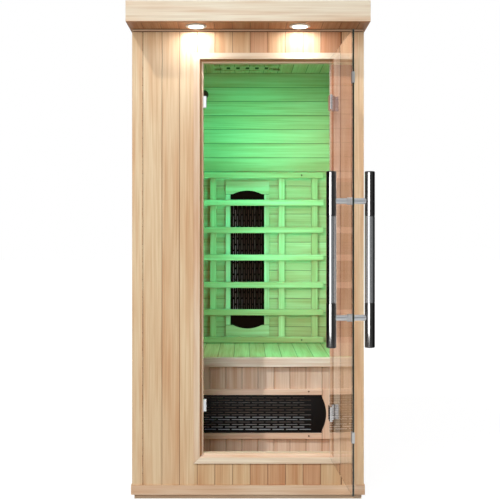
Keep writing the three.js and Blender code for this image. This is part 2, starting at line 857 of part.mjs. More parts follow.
// Slotted grille: rows of slots, each row half a pitch off the next
function heaterGrille(place) {
  const slots = [];
  for (let row = 0; row < slotRows; row++) {
    const w = (row - (slotRows - 1) / 2) * slotRowPitch;
    const shift = (row % 2 ? -slotPitch : slotPitch) / 4;
    for (let i = 0; i < slotsPerRow; i++) {
      const l = (i - (slotsPerRow - 1) / 2) * slotPitch + shift;
      const slot = rectangle(slotPitch - slotWeb, slotWidth, l, w);
      slots.push(plateInWall(slot, -cutPast, grilleThickness + cutPast));
    }
  }
  const plate = plateInWall(rectangle(grilleLength, grilleWidth), 0, grilleThickness);
  return remap(cut(plate, ...slots), place);
}

// Reflector tray with its pair of ceramic rods
function heaterTray(place) {
  const length = grilleLength - 2 * woodGap;
  const width = grilleWidth - 2 * woodGap;
  const deep = grilleThickness + trayDepth;
  const inside = rectangle(length - 2 * trayWall, width - 2 * trayWall);
  const shell = plateInWall(rectangle(length, width), grilleThickness, deep);
  const tray = cut(shell, plateInWall(inside, grilleThickness - cutPast, deep - trayWall));
  const rodEnd = (length - trayWall) / 2;
  const rodDepth = grilleThickness + trayDepth / 2;
  const rods = [-rodSpacing / 2, rodSpacing / 2].map((w) =>
    revolve(rodProfile(rodRadius, -rodEnd, rodEnd), rodSides, (a, b, c) => [b, w + c, rodDepth + a]),
  );
  return remap(join(tray, ...rods), place);
}

function addHeater(name, place) {
  addPart(`${name}_frame`, heaterFrame(place), hemlock);
  addPart(`${name}_grille`, heaterGrille(place), blackSteel);
  addPart(`${name}_tray`, heaterTray(place), reflector);
}
addHeater("back_heater", (l, w, d) => [w, innerBack + d, backHeaterHeight + l]);
addHeater("leg_heater", (l, w, d) => [l, benchPanelFront + d, legHeaterHeight + w]);

// Glass door, drawn closed about its hinge axis and then swung open
const hingeX = openingRight + hingeAxisOutside;
const hingeY = front - hingeAxisForward;
const door = new THREE.Group();
door.position.set(hingeX, hingeY, 0);
door.rotation.z = THREE.MathUtils.degToRad(doorOpenDegrees);
sauna.add(door);

const glassRight = openingRight - glassHingeGap - hingeX;
const glassLeft = openingLeft + glassSideGap - hingeX;
const glassFront = front + glassSetback - hingeY;
const glassBack = glassFront + glassThickness;
const gripFront = glassFront - setGap;
const gripBack = glassBack + setGap;
const handleX = glassLeft + handleFromEdge;
const handleMiddle = handleBottom + handleLength / 2;
const standoffHeights = [handleMiddle - handlePostSpacing / 2, handleMiddle + handlePostSpacing / 2];

function doorGlass() {
  const heights = [openingBottom - glassEndLap, openingTop + glassEndLap];
  const pane = box([glassLeft, glassRight], [glassFront, glassBack], heights);
  const holes = standoffHeights.map((z) =>
    rodY(glassHoleDiameter / 2, glassFront - cutPast, glassBack + cutPast, smallSides, handleX, z),
  );
  return cut(pane, ...holes);
}
addPart("door_glass", doorGlass(), glass, door);

// Pull handles: a bar on two standoffs each side; the outer studs pass the glass into the inner ones
const studEnd = gripBack + studReach;

function handleBar(barY) {
  const r = handleDiameter / 2;
  const top = handleBottom + handleLength;
  const profile = [
    [0, handleBottom],
    [r - handleEndRadius, handleBottom],
    [r, handleBottom + handleEndRadius],
    [r, top - handleEndRadius],
    [r - handleEndRadius, top],
    [0, top],
  ];
  return turnedZ(profile, barSides, handleX, barY);
}

const crossRods = (diameter, low, high) =>
  standoffHeights.map((z) => rodY(diameter / 2, low, high, smallSides, handleX, z));

function outerHandle() {
  const barY = glassFront - handleClear - handleDiameter / 2;
  return join(
    handleBar(barY),
    ...crossRods(standoffDiameter, barY, gripFront),
    ...crossRods(collarDiameter, gripFront - collarLength, gripFront),
    ...crossRods(studDiameter, gripFront - collarLength, studEnd),
  );
}

function innerHandle() {
  const barY = glassBack + handleClear + handleDiameter / 2;
  const bar = join(
    handleBar(barY),
    ...crossRods(standoffDiameter, gripBack, barY),
    ...crossRods(collarDiameter, gripBack, gripBack + collarLength),
  );
  return cut(bar, ...crossRods(studDiameter + 2 * setGap, glassBack, studEnd + setGap));
}
addPart("handle_outer", outerHandle(), chrome, door);
addPart("handle_inner", innerHandle(), chrome, door);

// Hinges: the frame leaf has the middle knuckle, the glass clamp the outer two, and a pin joins them
const knuckle = (low, high) => rodZ(barrelRadius, low, high, roundSides, 0, 0);
const pinBore = (middle) =>
  rodZ(pinRadius + setGap, middle - hingeHeight, middle + hingeHeight, rodSides, 0, 0);

function frameLeaf(middle) {
  const face = casingFace - hingeY;
  const left = leafFromAxis;
  const right = leafFromAxis + leafWidth;
  const ends = [middle - hingeHeight / 2, middle + hingeHeight / 2];
  const [low, high] = [middle - middleKnuckle / 2, middle + middleKnuckle / 2];
  const plate = box([left, right], [face - leafPlate, face], ends);
  const bridge = box([0, left + leafPlate], [face - leafBridge, face], [low, high]);
  const leaf = cut(join(plate, bridge, knuckle(low, high)), pinBore(middle));
  return leaf.translate(hingeX, hingeY, 0);
}

function glassClamp(middle) {
  const [low, high] = [middle - hingeHeight / 2, middle + hingeHeight / 2];
  const left = glassRight - clampReach;
  const webLeft = glassRight + setGap;
  const webRight = webLeft + clampPlate;
  const section = [
    [left, gripFront - clampPlate],
    [webRight, gripFront - clampPlate],
    [webRight, gripBack + clampPlate],
    [left, gripBack + clampPlate],
    [left, gripBack],
    [webLeft, gripBack],
    [webLeft, gripFront],
    [left, gripFront],
  ];
  const clear = middleKnuckle / 2 + slideGap;
  const knuckles = [[low, middle - clear], [middle + clear, high]].flatMap((reach) => [
    knuckle(...reach),
    box([webLeft, webRight], [0, gripFront], reach),
  ]);
  return cut(join(alongZ(outline(section), low, high), ...knuckles), pinBore(middle));
}

function hingePin(middle) {
  const shoulder = hingeHeight / 2 + setGap;
  const half = shoulder + pinHeadHeight;
  const profile = [
    [0, middle - half],
    [pinHeadRadius, middle - half],
    [pinHeadRadius, middle - shoulder],
    [pinRadius, middle - shoulder],
    [pinRadius, middle + shoulder],
    [pinHeadRadius, middle + shoulder],
    [pinHeadRadius, middle + half],
    [0, middle + half],
  ];
  return turnedZ(profile, rodSides, hingeX, hingeY);
}
for (const [end, middle] of Object.entries(hingeHeights)) {
  addPart(`hinge_${end}_frame_leaf`, frameLeaf(middle), chrome);
  addPart(`hinge_${end}_pin`, hingePin(middle), chrome);
  addPart(`hinge_${end}_glass_clamp`, glassClamp(middle), chrome, door);
}

// Magnetic catches: a magnet on the door stop meets a strike clipped over the glass edge
function magnet(middle) {
  const left = openingLeft + stopWidth;
  const lead = front + stopSetback - magnetLead;
  const depth = [lead, lead + magnetDepth];
  const shape = roundedRectangle([left, left + magnetWidth], depth, magnetCorner);
  return alongZ(shape, middle - magnetHeight / 2, middle + magnetHeight / 2);
}

function strike(middle) {
  const right = glassLeft + strikeReach;
  const edge = glassLeft - setGap;
  const section = [
    [edge - strikePlate, gripFront - strikePlate],
    [right, gripFront - strikePlate],
    [right, gripFront],
    [edge, gripFront],
    [edge, gripBack],
    [right, gripBack],
    [right, gripBack + strikePlate],
    [edge - strikePlate, gripBack + strikePlate],
  ];
  return alongZ(outline(section), middle - strikeHeight / 2, middle + strikeHeight / 2);
}
for (const [end, middle] of Object.entries(catchHeights)) {
  addPart(`magnet_${end}`, magnet(middle), whitePlastic);
  addPart(`strike_${end}`, strike(middle), chrome, door);
}

export default sauna;
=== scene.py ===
import json
import math

import bpy
from mathutils import Matrix, Vector

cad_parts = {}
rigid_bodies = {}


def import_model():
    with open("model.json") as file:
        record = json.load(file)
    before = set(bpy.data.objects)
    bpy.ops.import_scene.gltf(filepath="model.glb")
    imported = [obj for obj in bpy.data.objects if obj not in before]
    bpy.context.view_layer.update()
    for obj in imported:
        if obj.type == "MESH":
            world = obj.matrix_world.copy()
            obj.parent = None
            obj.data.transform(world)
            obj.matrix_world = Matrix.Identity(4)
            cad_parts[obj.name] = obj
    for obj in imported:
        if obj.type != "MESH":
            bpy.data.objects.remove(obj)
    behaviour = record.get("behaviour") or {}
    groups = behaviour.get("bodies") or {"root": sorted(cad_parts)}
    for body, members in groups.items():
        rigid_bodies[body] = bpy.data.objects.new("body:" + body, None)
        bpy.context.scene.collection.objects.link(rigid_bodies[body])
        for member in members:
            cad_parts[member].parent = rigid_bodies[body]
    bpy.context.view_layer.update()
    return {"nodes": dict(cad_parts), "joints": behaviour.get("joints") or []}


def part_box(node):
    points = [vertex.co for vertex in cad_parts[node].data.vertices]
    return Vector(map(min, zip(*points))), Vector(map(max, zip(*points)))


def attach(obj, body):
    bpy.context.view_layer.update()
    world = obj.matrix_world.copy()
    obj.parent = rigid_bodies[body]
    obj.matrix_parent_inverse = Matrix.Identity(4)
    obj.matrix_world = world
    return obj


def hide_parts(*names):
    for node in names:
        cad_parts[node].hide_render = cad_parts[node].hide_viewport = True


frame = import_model()
nodes = frame["nodes"]

# Sizes that the finishes and the pieces share with the solids

MM = 0.001
BOARD = 68.5 * MM
FRONT_JOINT = 8.6 * MM
LAST_JOINT = 345 * MM
BENCH_JOINT = 44 * MM
PANEL_EDGES = (-409 * MM, 362 * MM, 409 * MM)
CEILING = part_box("colour_light")[1].z
WALL_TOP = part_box("crown_front")[0].z
BACK_HEATER = sum(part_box("back_heater_frame"), Vector()) / 2
LEG_HEATER = sum(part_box("leg_heater_frame"), Vector()) / 2
HEATER_RAIL = 316 * MM

hinge = next(joint for joint in frame["joints"] if joint["name"] == "door_hinge")
HINGE = Vector(hinge["pos_m"])
OPEN = math.radians(-hinge["range_deg"][0])

# Solids that a piece modelled below replaces, so they need no finish
REMODELLED = ("door_glass", "handle_outer", "handle_inner", "downlight_left", "downlight_right",
              "colour_light", "temperature_sensor")


# Colours and nodes

def linear(colour):
    """Linear RGBA of an sRGB hex colour."""
    parts = [int(colour[i:i + 2], 16) / 255 for i in (1, 3, 5)]
    return [p / 12.92 if p <= 0.04045 else ((p + 0.055) / 1.055) ** 2.4 for p in parts] + [1.0]


def add(tree, kind, feeds=None, **settings):
    """Adds one node with its settings, and feeds its inputs with values or other nodes' outputs."""
    node = tree.nodes.new(kind)
    for name, value in settings.items():
        setattr(node, name, value)
    for name, value in (feeds or {}).items():
        if isinstance(value, bpy.types.NodeSocket):
            tree.links.new(value, node.inputs[name])
        else:
            node.inputs[name].default_value = value
    return node


def new_finish(name, **sockets):
    """A material with values on its shader's own sockets: material, tree, shader and Object coordinates."""
    material = bpy.data.materials.new(name)
    material.use_nodes = True
    tree = material.node_tree
    shader = tree.nodes["Principled BSDF"]
    for socket, value in sockets.items():
        shader.inputs[socket.replace("_", " ")].default_value = value
    return material, tree, shader, add(tree, "ShaderNodeTexCoord").outputs["Object"]


def set_tones(ramp, tones):
    """Spreads the tones evenly over a colour ramp."""
    stops = ramp.color_ramp.elements
    for i, tone in enumerate(tones):
        stop = stops[i] if i < 2 else stops.new(1)
        stop.position = i / (len(tones) - 1)
        stop.color = linear(tone)


# Hemlock: planed, unvarnished softwood with straight fibres, wavy growth rings and a tone to each board

# Length, width and detail of each pattern; the fibres are coarser than life, so that they show
FIBRE = (240 * MM, 2.6 * MM, 4)
RING = (900 * MM, 26 * MM, 1)
DRIFT = (600 * MM, 45 * MM, 2)
RING_COUNT = 22
RING_DARK = 0.16
FIBRE_DARK = 0.34
ROSY_SHARE = 0.7
BOARD_SHIFT = 60
SEAM_WIDTH = 1.9 * MM
SEAM_DARK = 0.8
PANEL_JOINT = 2.2 * MM

# Metres wider than the cabin: a reach that keeps every seam, and a pitch that leaves a piece one board
BEYOND = 9.0
WHOLE = 3.0

LATE_WOOD = "#c9a078"
ROSY_WOOD = "#ecd2c0"
SEAM_SHADE = "#7d5638"
NATURAL = ["#e8cfaa", "#e1c49f", "#dcbb95", "#e5caa6", "#d9b48e"]
STRONG = ["#dcbd95", "#d2ab84", "#cb9a76", "#dfc49d", "#d6b18a"]
WARM = ["#dab893", "#d0a884", "#d6b08b"]
PALE = ["#ead8bd", "#e6d1b2", "#ecdcc4"]
CASING = ["#ebd6bc", "#e5ccb0", "#e8d1b6"]
# Dark browns for the inside of the vent slots and the slider's edges: painted shade in the hollows
PAINTED_HOLLOW_SHADE = ["#4a3826", "#5a452f"]
# Darker browns for the soffit, the crown's undersides and the reveals of the door posts and head: painted
# shade where little light reaches
PAINTED_SHADE_BROWNS = ["#ca9a72", "#be8c65", "#d0a27b"]
ROSY = ["#e6d0bd", "#dfc6b1", "#ead6c5"]
SILL = ["#f0dfc6", "#ecd8bc", "#f2e2ca"]
BLUSH = ["#f0d4bf", "#eaceb8", "#f2dac8"]
CREAM = ["#f2e8da", "#eee1d0", "#f4ebde"]


def boards(tree, where, grain, across, tones, pitch=BOARD, first=0.0, seed=0, reach=BEYOND, lines=()):
    """Colour and dark grain of boards side by side; seams end at reach, and panel joints lie at lines."""
    depth = ({"X", "Y", "Z"} - {grain, across}).pop()
    axis = add(tree, "ShaderNodeSeparateXYZ", {"Vector": where}).outputs
    held = add(tree, "ShaderNodeClamp", {"Value": axis[across], "Min": -reach, "Max": reach})
    place = add(tree, "ShaderNodeMath", {0: held.outputs[0], 1: 1 / pitch, 2: seed - first / pitch},
                operation="MULTIPLY_ADD")
    board = add(tree, "ShaderNodeMath", {0: place.outputs[0]}, operation="FLOOR")
    chance = add(tree, "ShaderNodeTexWhiteNoise", {"W": board.outputs[0]}, noise_dimensions="1D")
    tone = add(tree, "ShaderNodeValToRGB", {"Fac": chance.outputs["Value"]})
    set_tones(tone, tones)
    along = add(tree, "ShaderNodeCombineXYZ", {"X": axis[grain], "Y": axis[across], "Z": axis[depth]})
    shift = add(tree, "ShaderNodeVectorMath", {0: chance.outputs["Color"], "Scale": BOARD_SHIFT},
                operation="SCALE")
    drawn = []
    for length, width, detail in (FIBRE, RING, DRIFT):
        spot = add(tree, "ShaderNodeVectorMath", {
            0: along.outputs[0], 1: (1 / length, 1 / width, 1 / width), 2: shift.outputs[0]},
            operation="MULTIPLY_ADD")
        noise = add(tree, "ShaderNodeTexNoise", {
            "Vector": spot.outputs[0], "Scale": 1, "Detail": detail, "Roughness": 0.6})
        drawn.append(noise.outputs[0])
    fibre, ring, drift = drawn
    turns = add(tree, "ShaderNodeMath", {0: ring, 1: RING_COUNT}, operation="MULTIPLY")
    wave = add(tree, "ShaderNodeMath", {0: turns.outputs[0]}, operation="SINE")
    rings = add(tree, "ShaderNodeMapRange", {
        "Value": wave.outputs[0], "From Min": -0.4, "From Max": 1, "To Max": RING_DARK})
    fibres = add(tree, "ShaderNodeMapRange", {
        "Value": fibre, "From Min": 0.36, "From Max": 0.70, "To Max": FIBRE_DARK})
    dark = add(tree, "ShaderNodeMath", {0: rings.outputs[0], 1: fibres.outputs[0]}, operation="ADD")
    blush = add(tree, "ShaderNodeMapRange", {
        "Value": drift, "From Min": 0.42, "From Max": 0.66, "To Max": ROSY_SHARE})
    rosy = add(tree, "ShaderNodeMix", {0: blush.outputs[0], 6: tone.outputs["Color"], 7: linear(ROSY_WOOD)},
               data_type="RGBA", blend_type="MULTIPLY")
    shaded = add(tree, "ShaderNodeMix", {0: dark.outputs[0], 6: rosy.outputs[2], 7: linear(LATE_WOOD)},
                 data_type="RGBA", blend_type="MULTIPLY")
    gap = add(tree, "ShaderNodeMath", {0: place.outputs[0], 1: 0.5}, operation="PINGPONG")
    seam = add(tree, "ShaderNodeMapRange", {
        "Value": gap.outputs[0], "From Max": SEAM_WIDTH / pitch, "To Min": SEAM_DARK, "To Max": 0})
    for line in lines:
        joint = add(tree, "ShaderNodeMath", {0: axis[across], 1: line, 2: PANEL_JOINT}, operation="COMPARE")
        seam = add(tree, "ShaderNodeMath", {0: seam.outputs[0], 1: joint.outputs[0]}, operation="MAXIMUM")
    seamed = add(tree, "ShaderNodeMix", {0: seam.outputs[0], 6: shaded.outputs[2], 7: linear(SEAM_SHADE)},
                 data_type="RGBA", blend_type="MULTIPLY")
    return seamed.outputs[2], dark.outputs[0]


def hemlock(name, outer, core=None, span=None):
    """Hemlock boards; core is another laying of boards, where the coordinate lies in span."""
    material, tree, shader, where = new_finish(name, IOR=1.5, Specular_IOR_Level=0.3)
    colour, dark = boards(tree, where, **outer)
    if core:
        core_colour, core_dark = boards(tree, where, **core)
        axis, middle, reach = span
        place = add(tree, "ShaderNodeSeparateXYZ", {"Vector": where}).outputs[axis]
        inside = add(tree, "ShaderNodeMath", {0: place, 1: middle, 2: reach}, operation="COMPARE")
        share = inside.outputs[0]
        mixed = add(tree, "ShaderNodeMix", {0: share, 6: colour, 7: core_colour}, data_type="RGBA")
        colour = mixed.outputs[2]
        dark = add(tree, "ShaderNodeMix", {0: share, 2: dark, 3: core_dark}).outputs[0]
    rough = add(tree, "ShaderNodeMapRange", {"Value": dark, "To Min": 0.50, "To Max": 0.66})
    relief = add(tree, "ShaderNodeBump", {"Strength": 0.2, "Distance": 0.3 * MM, "Height": dark},
                 invert=True)
    tree.links.new(colour, shader.inputs["Base Color"])
    tree.links.new(rough.outputs[0], shader.inputs["Roughness"])
    tree.links.new(relief.outputs[0], shader.inputs["Normal"])
    return material


def laid(grain, across, tones, **laying):
    """A laying of boards: the axis of their grain, the axis they lie side by side on, and their tones."""
    return {"grain": grain, "across": across, "tones": tones, **laying}


def whole(grain, across, tones, **laying):
    """A laying so wide that the piece is one board."""
    return laid(grain, across, tones, pitch=WHOLE, **laying)


def outer_boards(tones, seed):
    """Upright boards of the front and back, with panel joints at the corners and beside the door."""
    return laid("Z", "X", tones, first=FRONT_JOINT, reach=LAST_JOINT, lines=PANEL_EDGES, seed=seed)


def lining(grain, seed=0):
    """Level boards of the lining, counted from the ceiling."""
    return laid(grain, "Z", NATURAL, first=CEILING, seed=seed)


# Where a solid changes from its outer boards to its core: axis, middle and reach
inside_front = ("Y", 0, 414.5 * MM)
inside_back = ("Y", 0, 414 * MM)
inside_sides = ("X", 0, 411.2 * MM)
floor_top = ("Z", 60 * MM, 4.7 * MM)
# The cores below at the crown's underside, in the vent slots, round the slider and in the reveals of the door
# posts and head carry painted shade
underside = ("Z", WALL_TOP, 1.5 * MM)
vent_slots = ("Z", CEILING + 14 * MM, 13 * MM)
slider_top = ("Z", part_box("vent_slider")[1].z, 5.2 * MM)
reveal = ("Y", -444.5 * MM, 9.5 * MM)
back_stiles = ("Z", BACK_HEATER.z, HEATER_RAIL)
leg_rails = ("X", 0, HEATER_RAIL)

# Dark lines along the moulding's top and bottom edges: painted shade in the creases against the soffit and
# the wall
moulding_painted_creases = (WALL_TOP, WALL_TOP - 10 * MM)
back_frame_joints = (BACK_HEATER.z - HEATER_RAIL, BACK_HEATER.z + HEATER_RAIL)
leg_frame_joints = (-HEATER_RAIL, HEATER_RAIL)

front_wood = hemlock("hemlock front boards", outer_boards(NATURAL, 5), lining("X"), inside_front)
# The header's outer boards take the darker STRONG tones: painted shade under the crown
header_wood = hemlock("hemlock header boards", outer_boards(STRONG, 5), lining("X"), inside_front)
sill_wood = hemlock("hemlock sill boards", outer_boards(STRONG, 21), lining("X"), inside_front)
side_wood = hemlock("hemlock side boards", laid("Z", "Y", NATURAL, seed=40), lining("Y", 12), inside_sides)
back_wood = hemlock("hemlock back boards", outer_boards(NATURAL, 60), lining("X", 33), inside_back)
floor_wood = hemlock("hemlock floor boards", whole("X", "Y", CASING, first=-1),
                     laid("Y", "X", STRONG, first=FRONT_JOINT, seed=8), floor_top)
# The bottom faces of the crown boards take the darker browns: painted shade under the crown
crown_wood = hemlock("hemlock crown board", whole("X", "Z", PALE, seed=2), whole("X", "Y", PAINTED_SHADE_BROWNS), underside)
crown_side_wood = hemlock("hemlock crown side board", whole("Y", "Z", PALE), whole("Y", "X", PAINTED_SHADE_BROWNS), underside)
# The whole soffit takes the darker browns: painted shade under the crown
soffit_wood = hemlock("hemlock soffit boards", laid("Y", "X", PAINTED_SHADE_BROWNS, first=FRONT_JOINT, seed=70))
moulding_wood = hemlock("hemlock moulding", whole("X", "Z", CASING, lines=moulding_painted_creases))
# The inner faces of the vent slots, and the sides and slot faces of the slider, take dark browns: painted
# shade in the hollows
ceiling_wood = hemlock("hemlock ceiling boards", laid("Y", "X", NATURAL, first=FRONT_JOINT, seed=80),
                       whole("Y", "X", PAINTED_HOLLOW_SHADE), vent_slots)
slider_wood = hemlock("hemlock vent slider", whole("X", "Y", NATURAL, seed=81),
                      whole("X", "Y", PAINTED_HOLLOW_SHADE), slider_top)
# The reveals of the door posts and head take the darker browns: painted shade in the doorway
upright_wood = hemlock("hemlock door post", laid("Z", "X", CASING, pitch=300 * MM, seed=3),
                       whole("Z", "Y", PAINTED_SHADE_BROWNS), reveal)
head_wood = hemlock("hemlock door head", whole("X", "Z", PALE, seed=7), whole("X", "Y", PAINTED_SHADE_BROWNS), reveal)
rail_wood = hemlock("hemlock door sill", whole("X", "Z", SILL, seed=6), whole("X", "Y", BLUSH), reveal)
bench_wood = hemlock("hemlock bench boards", laid("Z", "X", ROSY, first=BENCH_JOINT, seed=90))
nosing_wood = hemlock("hemlock nosing", whole("X", "Z", CREAM, seed=4))
slat_wood = hemlock("hemlock slats", laid("X", "Z", NATURAL, pitch=132 * MM, first=460 * MM, seed=15))
post_wood = hemlock("hemlock posts", laid("Z", "X", NATURAL, pitch=160 * MM, first=-405 * MM, seed=25))
back_heater_wood = hemlock("hemlock back heater frame", whole("X", "Z", PALE, lines=back_frame_joints),
                           laid("Z", "X", PALE, pitch=200 * MM), back_stiles)
leg_heater_wood = hemlock("hemlock leg heater frame", whole("Z", "X", BLUSH, lines=leg_frame_joints),
                          laid("X", "Z", BLUSH, pitch=200 * MM), leg_rails)
roof_wood = hemlock("hemlock roof board", laid("X", "Y", WARM, pitch=300 * MM, seed=9))


# Enamelled sheet steel: black stove enamel, satin, with the faint orange peel of a sprayed coat

enamel, tree, shader, where = new_finish("black enamelled steel", Roughness=0.42, Specular_IOR_Level=0.22)
peel = add(tree, "ShaderNodeTexNoise", {"Vector": where, "Scale": 1 / (1.6 * MM), "Detail": 2})
black = add(tree, "ShaderNodeValToRGB", {"Fac": peel.outputs[0]})
set_tones(black, ["#080707", "#120f0f"])
relief = add(tree, "ShaderNodeBump", {"Strength": 0.15, "Distance": 0.1 * MM, "Height": peel.outputs[0]})
tree.links.new(black.outputs[0], shader.inputs["Base Color"])
tree.links.new(relief.outputs[0], shader.inputs["Normal"])


# Rolled aluminium reflector with ceramic rods: rolling lines vary its gloss, and it is a darker brown beyond
# a given place across it

ROLLING_LENGTH = 500 * MM
ROLLING_WIDTH = 2.5 * MM
BROWN_FADE = 9 * MM
ROD_OFFSET = 38 * MM
ROD_REACH = 9 * MM


def reflector(name, along, across, middle, rod_depth, brown_from):
    """Reflector sheet, darker brown beyond a place across the rods, which are told apart by where they lie.
    """
    material, tree, shader, where = new_finish(name)
    axis = add(tree, "ShaderNodeSeparateXYZ", {"Vector": where}).outputs
    off = add(tree, "ShaderNodeMath", {0: axis[across], 1: middle}, operation="SUBTRACT").outputs[0]
    aside = add(tree, "ShaderNodeMath", {0: off}, operation="ABSOLUTE")
    near = add(tree, "ShaderNodeMath", {0: aside.outputs[0], 1: ROD_OFFSET, 2: ROD_REACH},
               operation="COMPARE")
    deep = add(tree, "ShaderNodeMath", {0: axis["Y"], 1: rod_depth, 2: ROD_REACH}, operation="COMPARE")
    rod = add(tree, "ShaderNodeMath", {0: near.outputs[0], 1: deep.outputs[0]},
              operation="MULTIPLY").outputs[0]
    stretch = [1 / (ROLLING_LENGTH if letter == along else ROLLING_WIDTH) for letter in "XYZ"]
    spot = add(tree, "ShaderNodeMapping", {"Vector": where, "Scale": stretch})
    lines = add(tree, "ShaderNodeTexNoise", {"Vector": spot.outputs[0], "Scale": 1, "Detail": 3}).outputs[0]
    bright = add(tree, "ShaderNodeValToRGB", {"Fac": lines})
    set_tones(bright, ["#dcdad6", "#efeeeb"])
    brown = add(tree, "ShaderNodeValToRGB", {"Fac": lines})
    set_tones(brown, ["#6b5a4e", "#857366"])
    ceramic = add(tree, "ShaderNodeValToRGB", {"Fac": lines})
    set_tones(ceramic, ["#6d6259", "#857a70"])
    # The sheet turns a darker brown past the given place across it
    heat = add(tree, "ShaderNodeMapRange", {
        "Value": off, "From Min": brown_from - BROWN_FADE, "From Max": brown_from + BROWN_FADE})
    sheet = add(tree, "ShaderNodeMix", {0: heat.outputs[0], 6: bright.outputs[0], 7: brown.outputs[0]},
                data_type="RGBA")
    colour = add(tree, "ShaderNodeMix", {0: rod, 6: sheet.outputs[2], 7: ceramic.outputs[0]},
                 data_type="RGBA")
    metal = add(tree, "ShaderNodeMapRange", {"Value": rod, "To Min": 0.2, "To Max": 0})
    rough = add(tree, "ShaderNodeMapRange", {"Value": lines, "To Min": 0.40, "To Max": 0.58})
    tree.links.new(colour.outputs[2], shader.inputs["Base Color"])
    tree.links.new(metal.outputs[0], shader.inputs["Metallic"])
    tree.links.new(rough.outputs[0], shader.inputs["Roughness"])
    return material


back_reflector = reflector("rolled aluminium back reflector", "Z", "X", 0, 425.5 * MM, -30 * MM)
leg_reflector = reflector("rolled aluminium leg reflector", "X", "Z", LEG_HEATER.z, -91.5 * MM, -18 * MM)


# Metals: plated parts mirror the room, with faint wiping marks; steel sheet shows its zinc crystals

def marked_metal(name, tones, roughness, size):
    """Metal whose tone and gloss vary over patches of about the given millimetres along X, Y and Z."""
    material, tree, shader, where = new_finish(name, Metallic=1.0)
    spot = add(tree, "ShaderNodeMapping", {"Vector": where, "Scale": [1 / (s * MM) for s in size]})
    marks = add(tree, "ShaderNodeTexNoise", {"Vector": spot.outputs[0], "Scale": 1, "Detail": 3}).outputs[0]
    colour = add(tree, "ShaderNodeValToRGB", {"Fac": marks})
    set_tones(colour, tones)
    low, high = roughness
    rough = add(tree, "ShaderNodeMapRange", {"Value": marks, "To Min": low, "To Max": high})
    tree.links.new(colour.outputs[0], shader.inputs["Base Color"])
    tree.links.new(rough.outputs[0], shader.inputs["Roughness"])
    return material


chrome = marked_metal("polished chrome", ["#c2c4c6", "#d8d9da"], (0.06, 0.16), (20, 20, 20))
satin_steel = marked_metal("satin steel", ["#b0b3b6", "#c9cbcd"], (0.24, 0.36), (2, 30, 2))
bar_chrome = marked_metal("polished chrome bar", ["#929496", "#aeb0b2"], (0.10, 0.20), (3, 3, 90))
screw_steel = marked_metal("bronzed steel", ["#6f543c", "#8c6d50"], (0.25, 0.45), (2, 2, 2))

galvanised, tree, shader, where = new_finish("galvanised steel", Metallic=1.0)
spangle = add(tree, "ShaderNodeTexVoronoi", {"Vector": where, "Scale": 1 / (12 * MM)}).outputs
zinc = add(tree, "ShaderNodeValToRGB", {"Fac": spangle["Color"]})
set_tones(zinc, ["#9aa0a3", "#bcc2c4"])
rough = add(tree, "ShaderNodeMapRange", {"Value": spangle["Distance"], "To Min": 0.35, "To Max": 0.55})
tree.links.new(zinc.outputs[0], shader.inputs["Base Color"])
tree.links.new(rough.outputs[0], shader.inputs["Roughness"])


# Plastics and lacquer: moulded ABS with a spark-eroded grain, drawn coarser than life, and gloss lacquer

def moulded(name, tones, roughness, grain, relief_strength=0.2, **sockets):
    """Moulded or sprayed surface: a grain of the given millimetres in tone, gloss and relief."""
    material, tree, shader, where = new_finish(name, **sockets)
    noise = add(tree, "ShaderNodeTexNoise", {"Vector": where, "Scale": 1 / (grain * MM), "Detail": 3})
    grit = noise.outputs[0]
    colour = add(tree, "ShaderNodeValToRGB", {"Fac": grit})
    set_tones(colour, tones)
    low, high = roughness
    rough = add(tree, "ShaderNodeMapRange", {"Value": grit, "To Min": low, "To Max": high})
    relief = add(tree, "ShaderNodeBump", {
        "Strength": relief_strength, "Distance": 0.05 * MM, "Height": grit})
    tree.links.new(colour.outputs[0], shader.inputs["Base Color"])
    tree.links.new(rough.outputs[0], shader.inputs["Roughness"])
    tree.links.new(relief.outputs[0], shader.inputs["Normal"])
    return material


white_abs = moulded("white ABS", ["#d2d4d7", "#e0e1e3"], (0.32, 0.45), 0.8)
black_abs = moulded("black ABS", ["#2c2f2e", "#3b3f3d"], (0.40, 0.55), 0.8)
nylon = moulded("black nylon", ["#101112", "#1b1c1e"], (0.45, 0.6), 1.2)
grip_lacquer = moulded("black gloss lacquer", ["#0a0909", "#110f10"], (0.10, 0.18), 2.5, 0.05,
                       Coat_Weight=0.4, Coat_Roughness=0.05)
display = moulded("dark display window", ["#060808", "#0c1011"], (0.06, 0.10), 6, 0.02)
white_enamel = moulded("white enamelled ring", ["#e4e2dc", "#f1efea"], (0.25, 0.35), 1.5)


# Toughened float glass: clear, with one clean mirror image, dark green polished edges and one ground matt

GLASS_SHADE = (0.68, 0.68, 0.68, 1)

glass, tree, shader, where = new_finish("clear toughened glass", Roughness=0.0, IOR=1.5,
                                        Transmission_Weight=1.0)
streaks = add(tree, "ShaderNodeTexNoise", {"Vector": where, "Scale": 1 / (180 * MM), "Detail": 1})
clear = add(tree, "ShaderNodeValToRGB", {"Fac": streaks.outputs[0]})
set_tones(clear, ["#f7f1ee", "#fdf8f5"])
tree.links.new(clear.outputs[0], shader.inputs["Base Color"])
leaving = add(tree, "ShaderNodeBsdfRefraction", {"Color": clear.outputs[0], "Roughness": 0, "IOR": 1.5})
inside = add(tree, "ShaderNodeNewGeometry").outputs["Backfacing"]
faces = add(tree, "ShaderNodeMixShader", {0: inside, 1: shader.outputs[0], 2: leaving.outputs[0]})
shadow = add(tree, "ShaderNodeLightPath").outputs["Is Shadow Ray"]
passing = add(tree, "ShaderNodeBsdfTransparent", {"Color": GLASS_SHADE})
both = add(tree, "ShaderNodeMixShader", {0: shadow, 1: faces.outputs[0], 2: passing.outputs[0]})
tree.links.new(both.outputs[0], tree.nodes["Material Output"].inputs["Surface"])
glass_edge = moulded("polished glass edge", ["#08160f", "#15291f"], (0.10, 0.2), 14, 0.02)
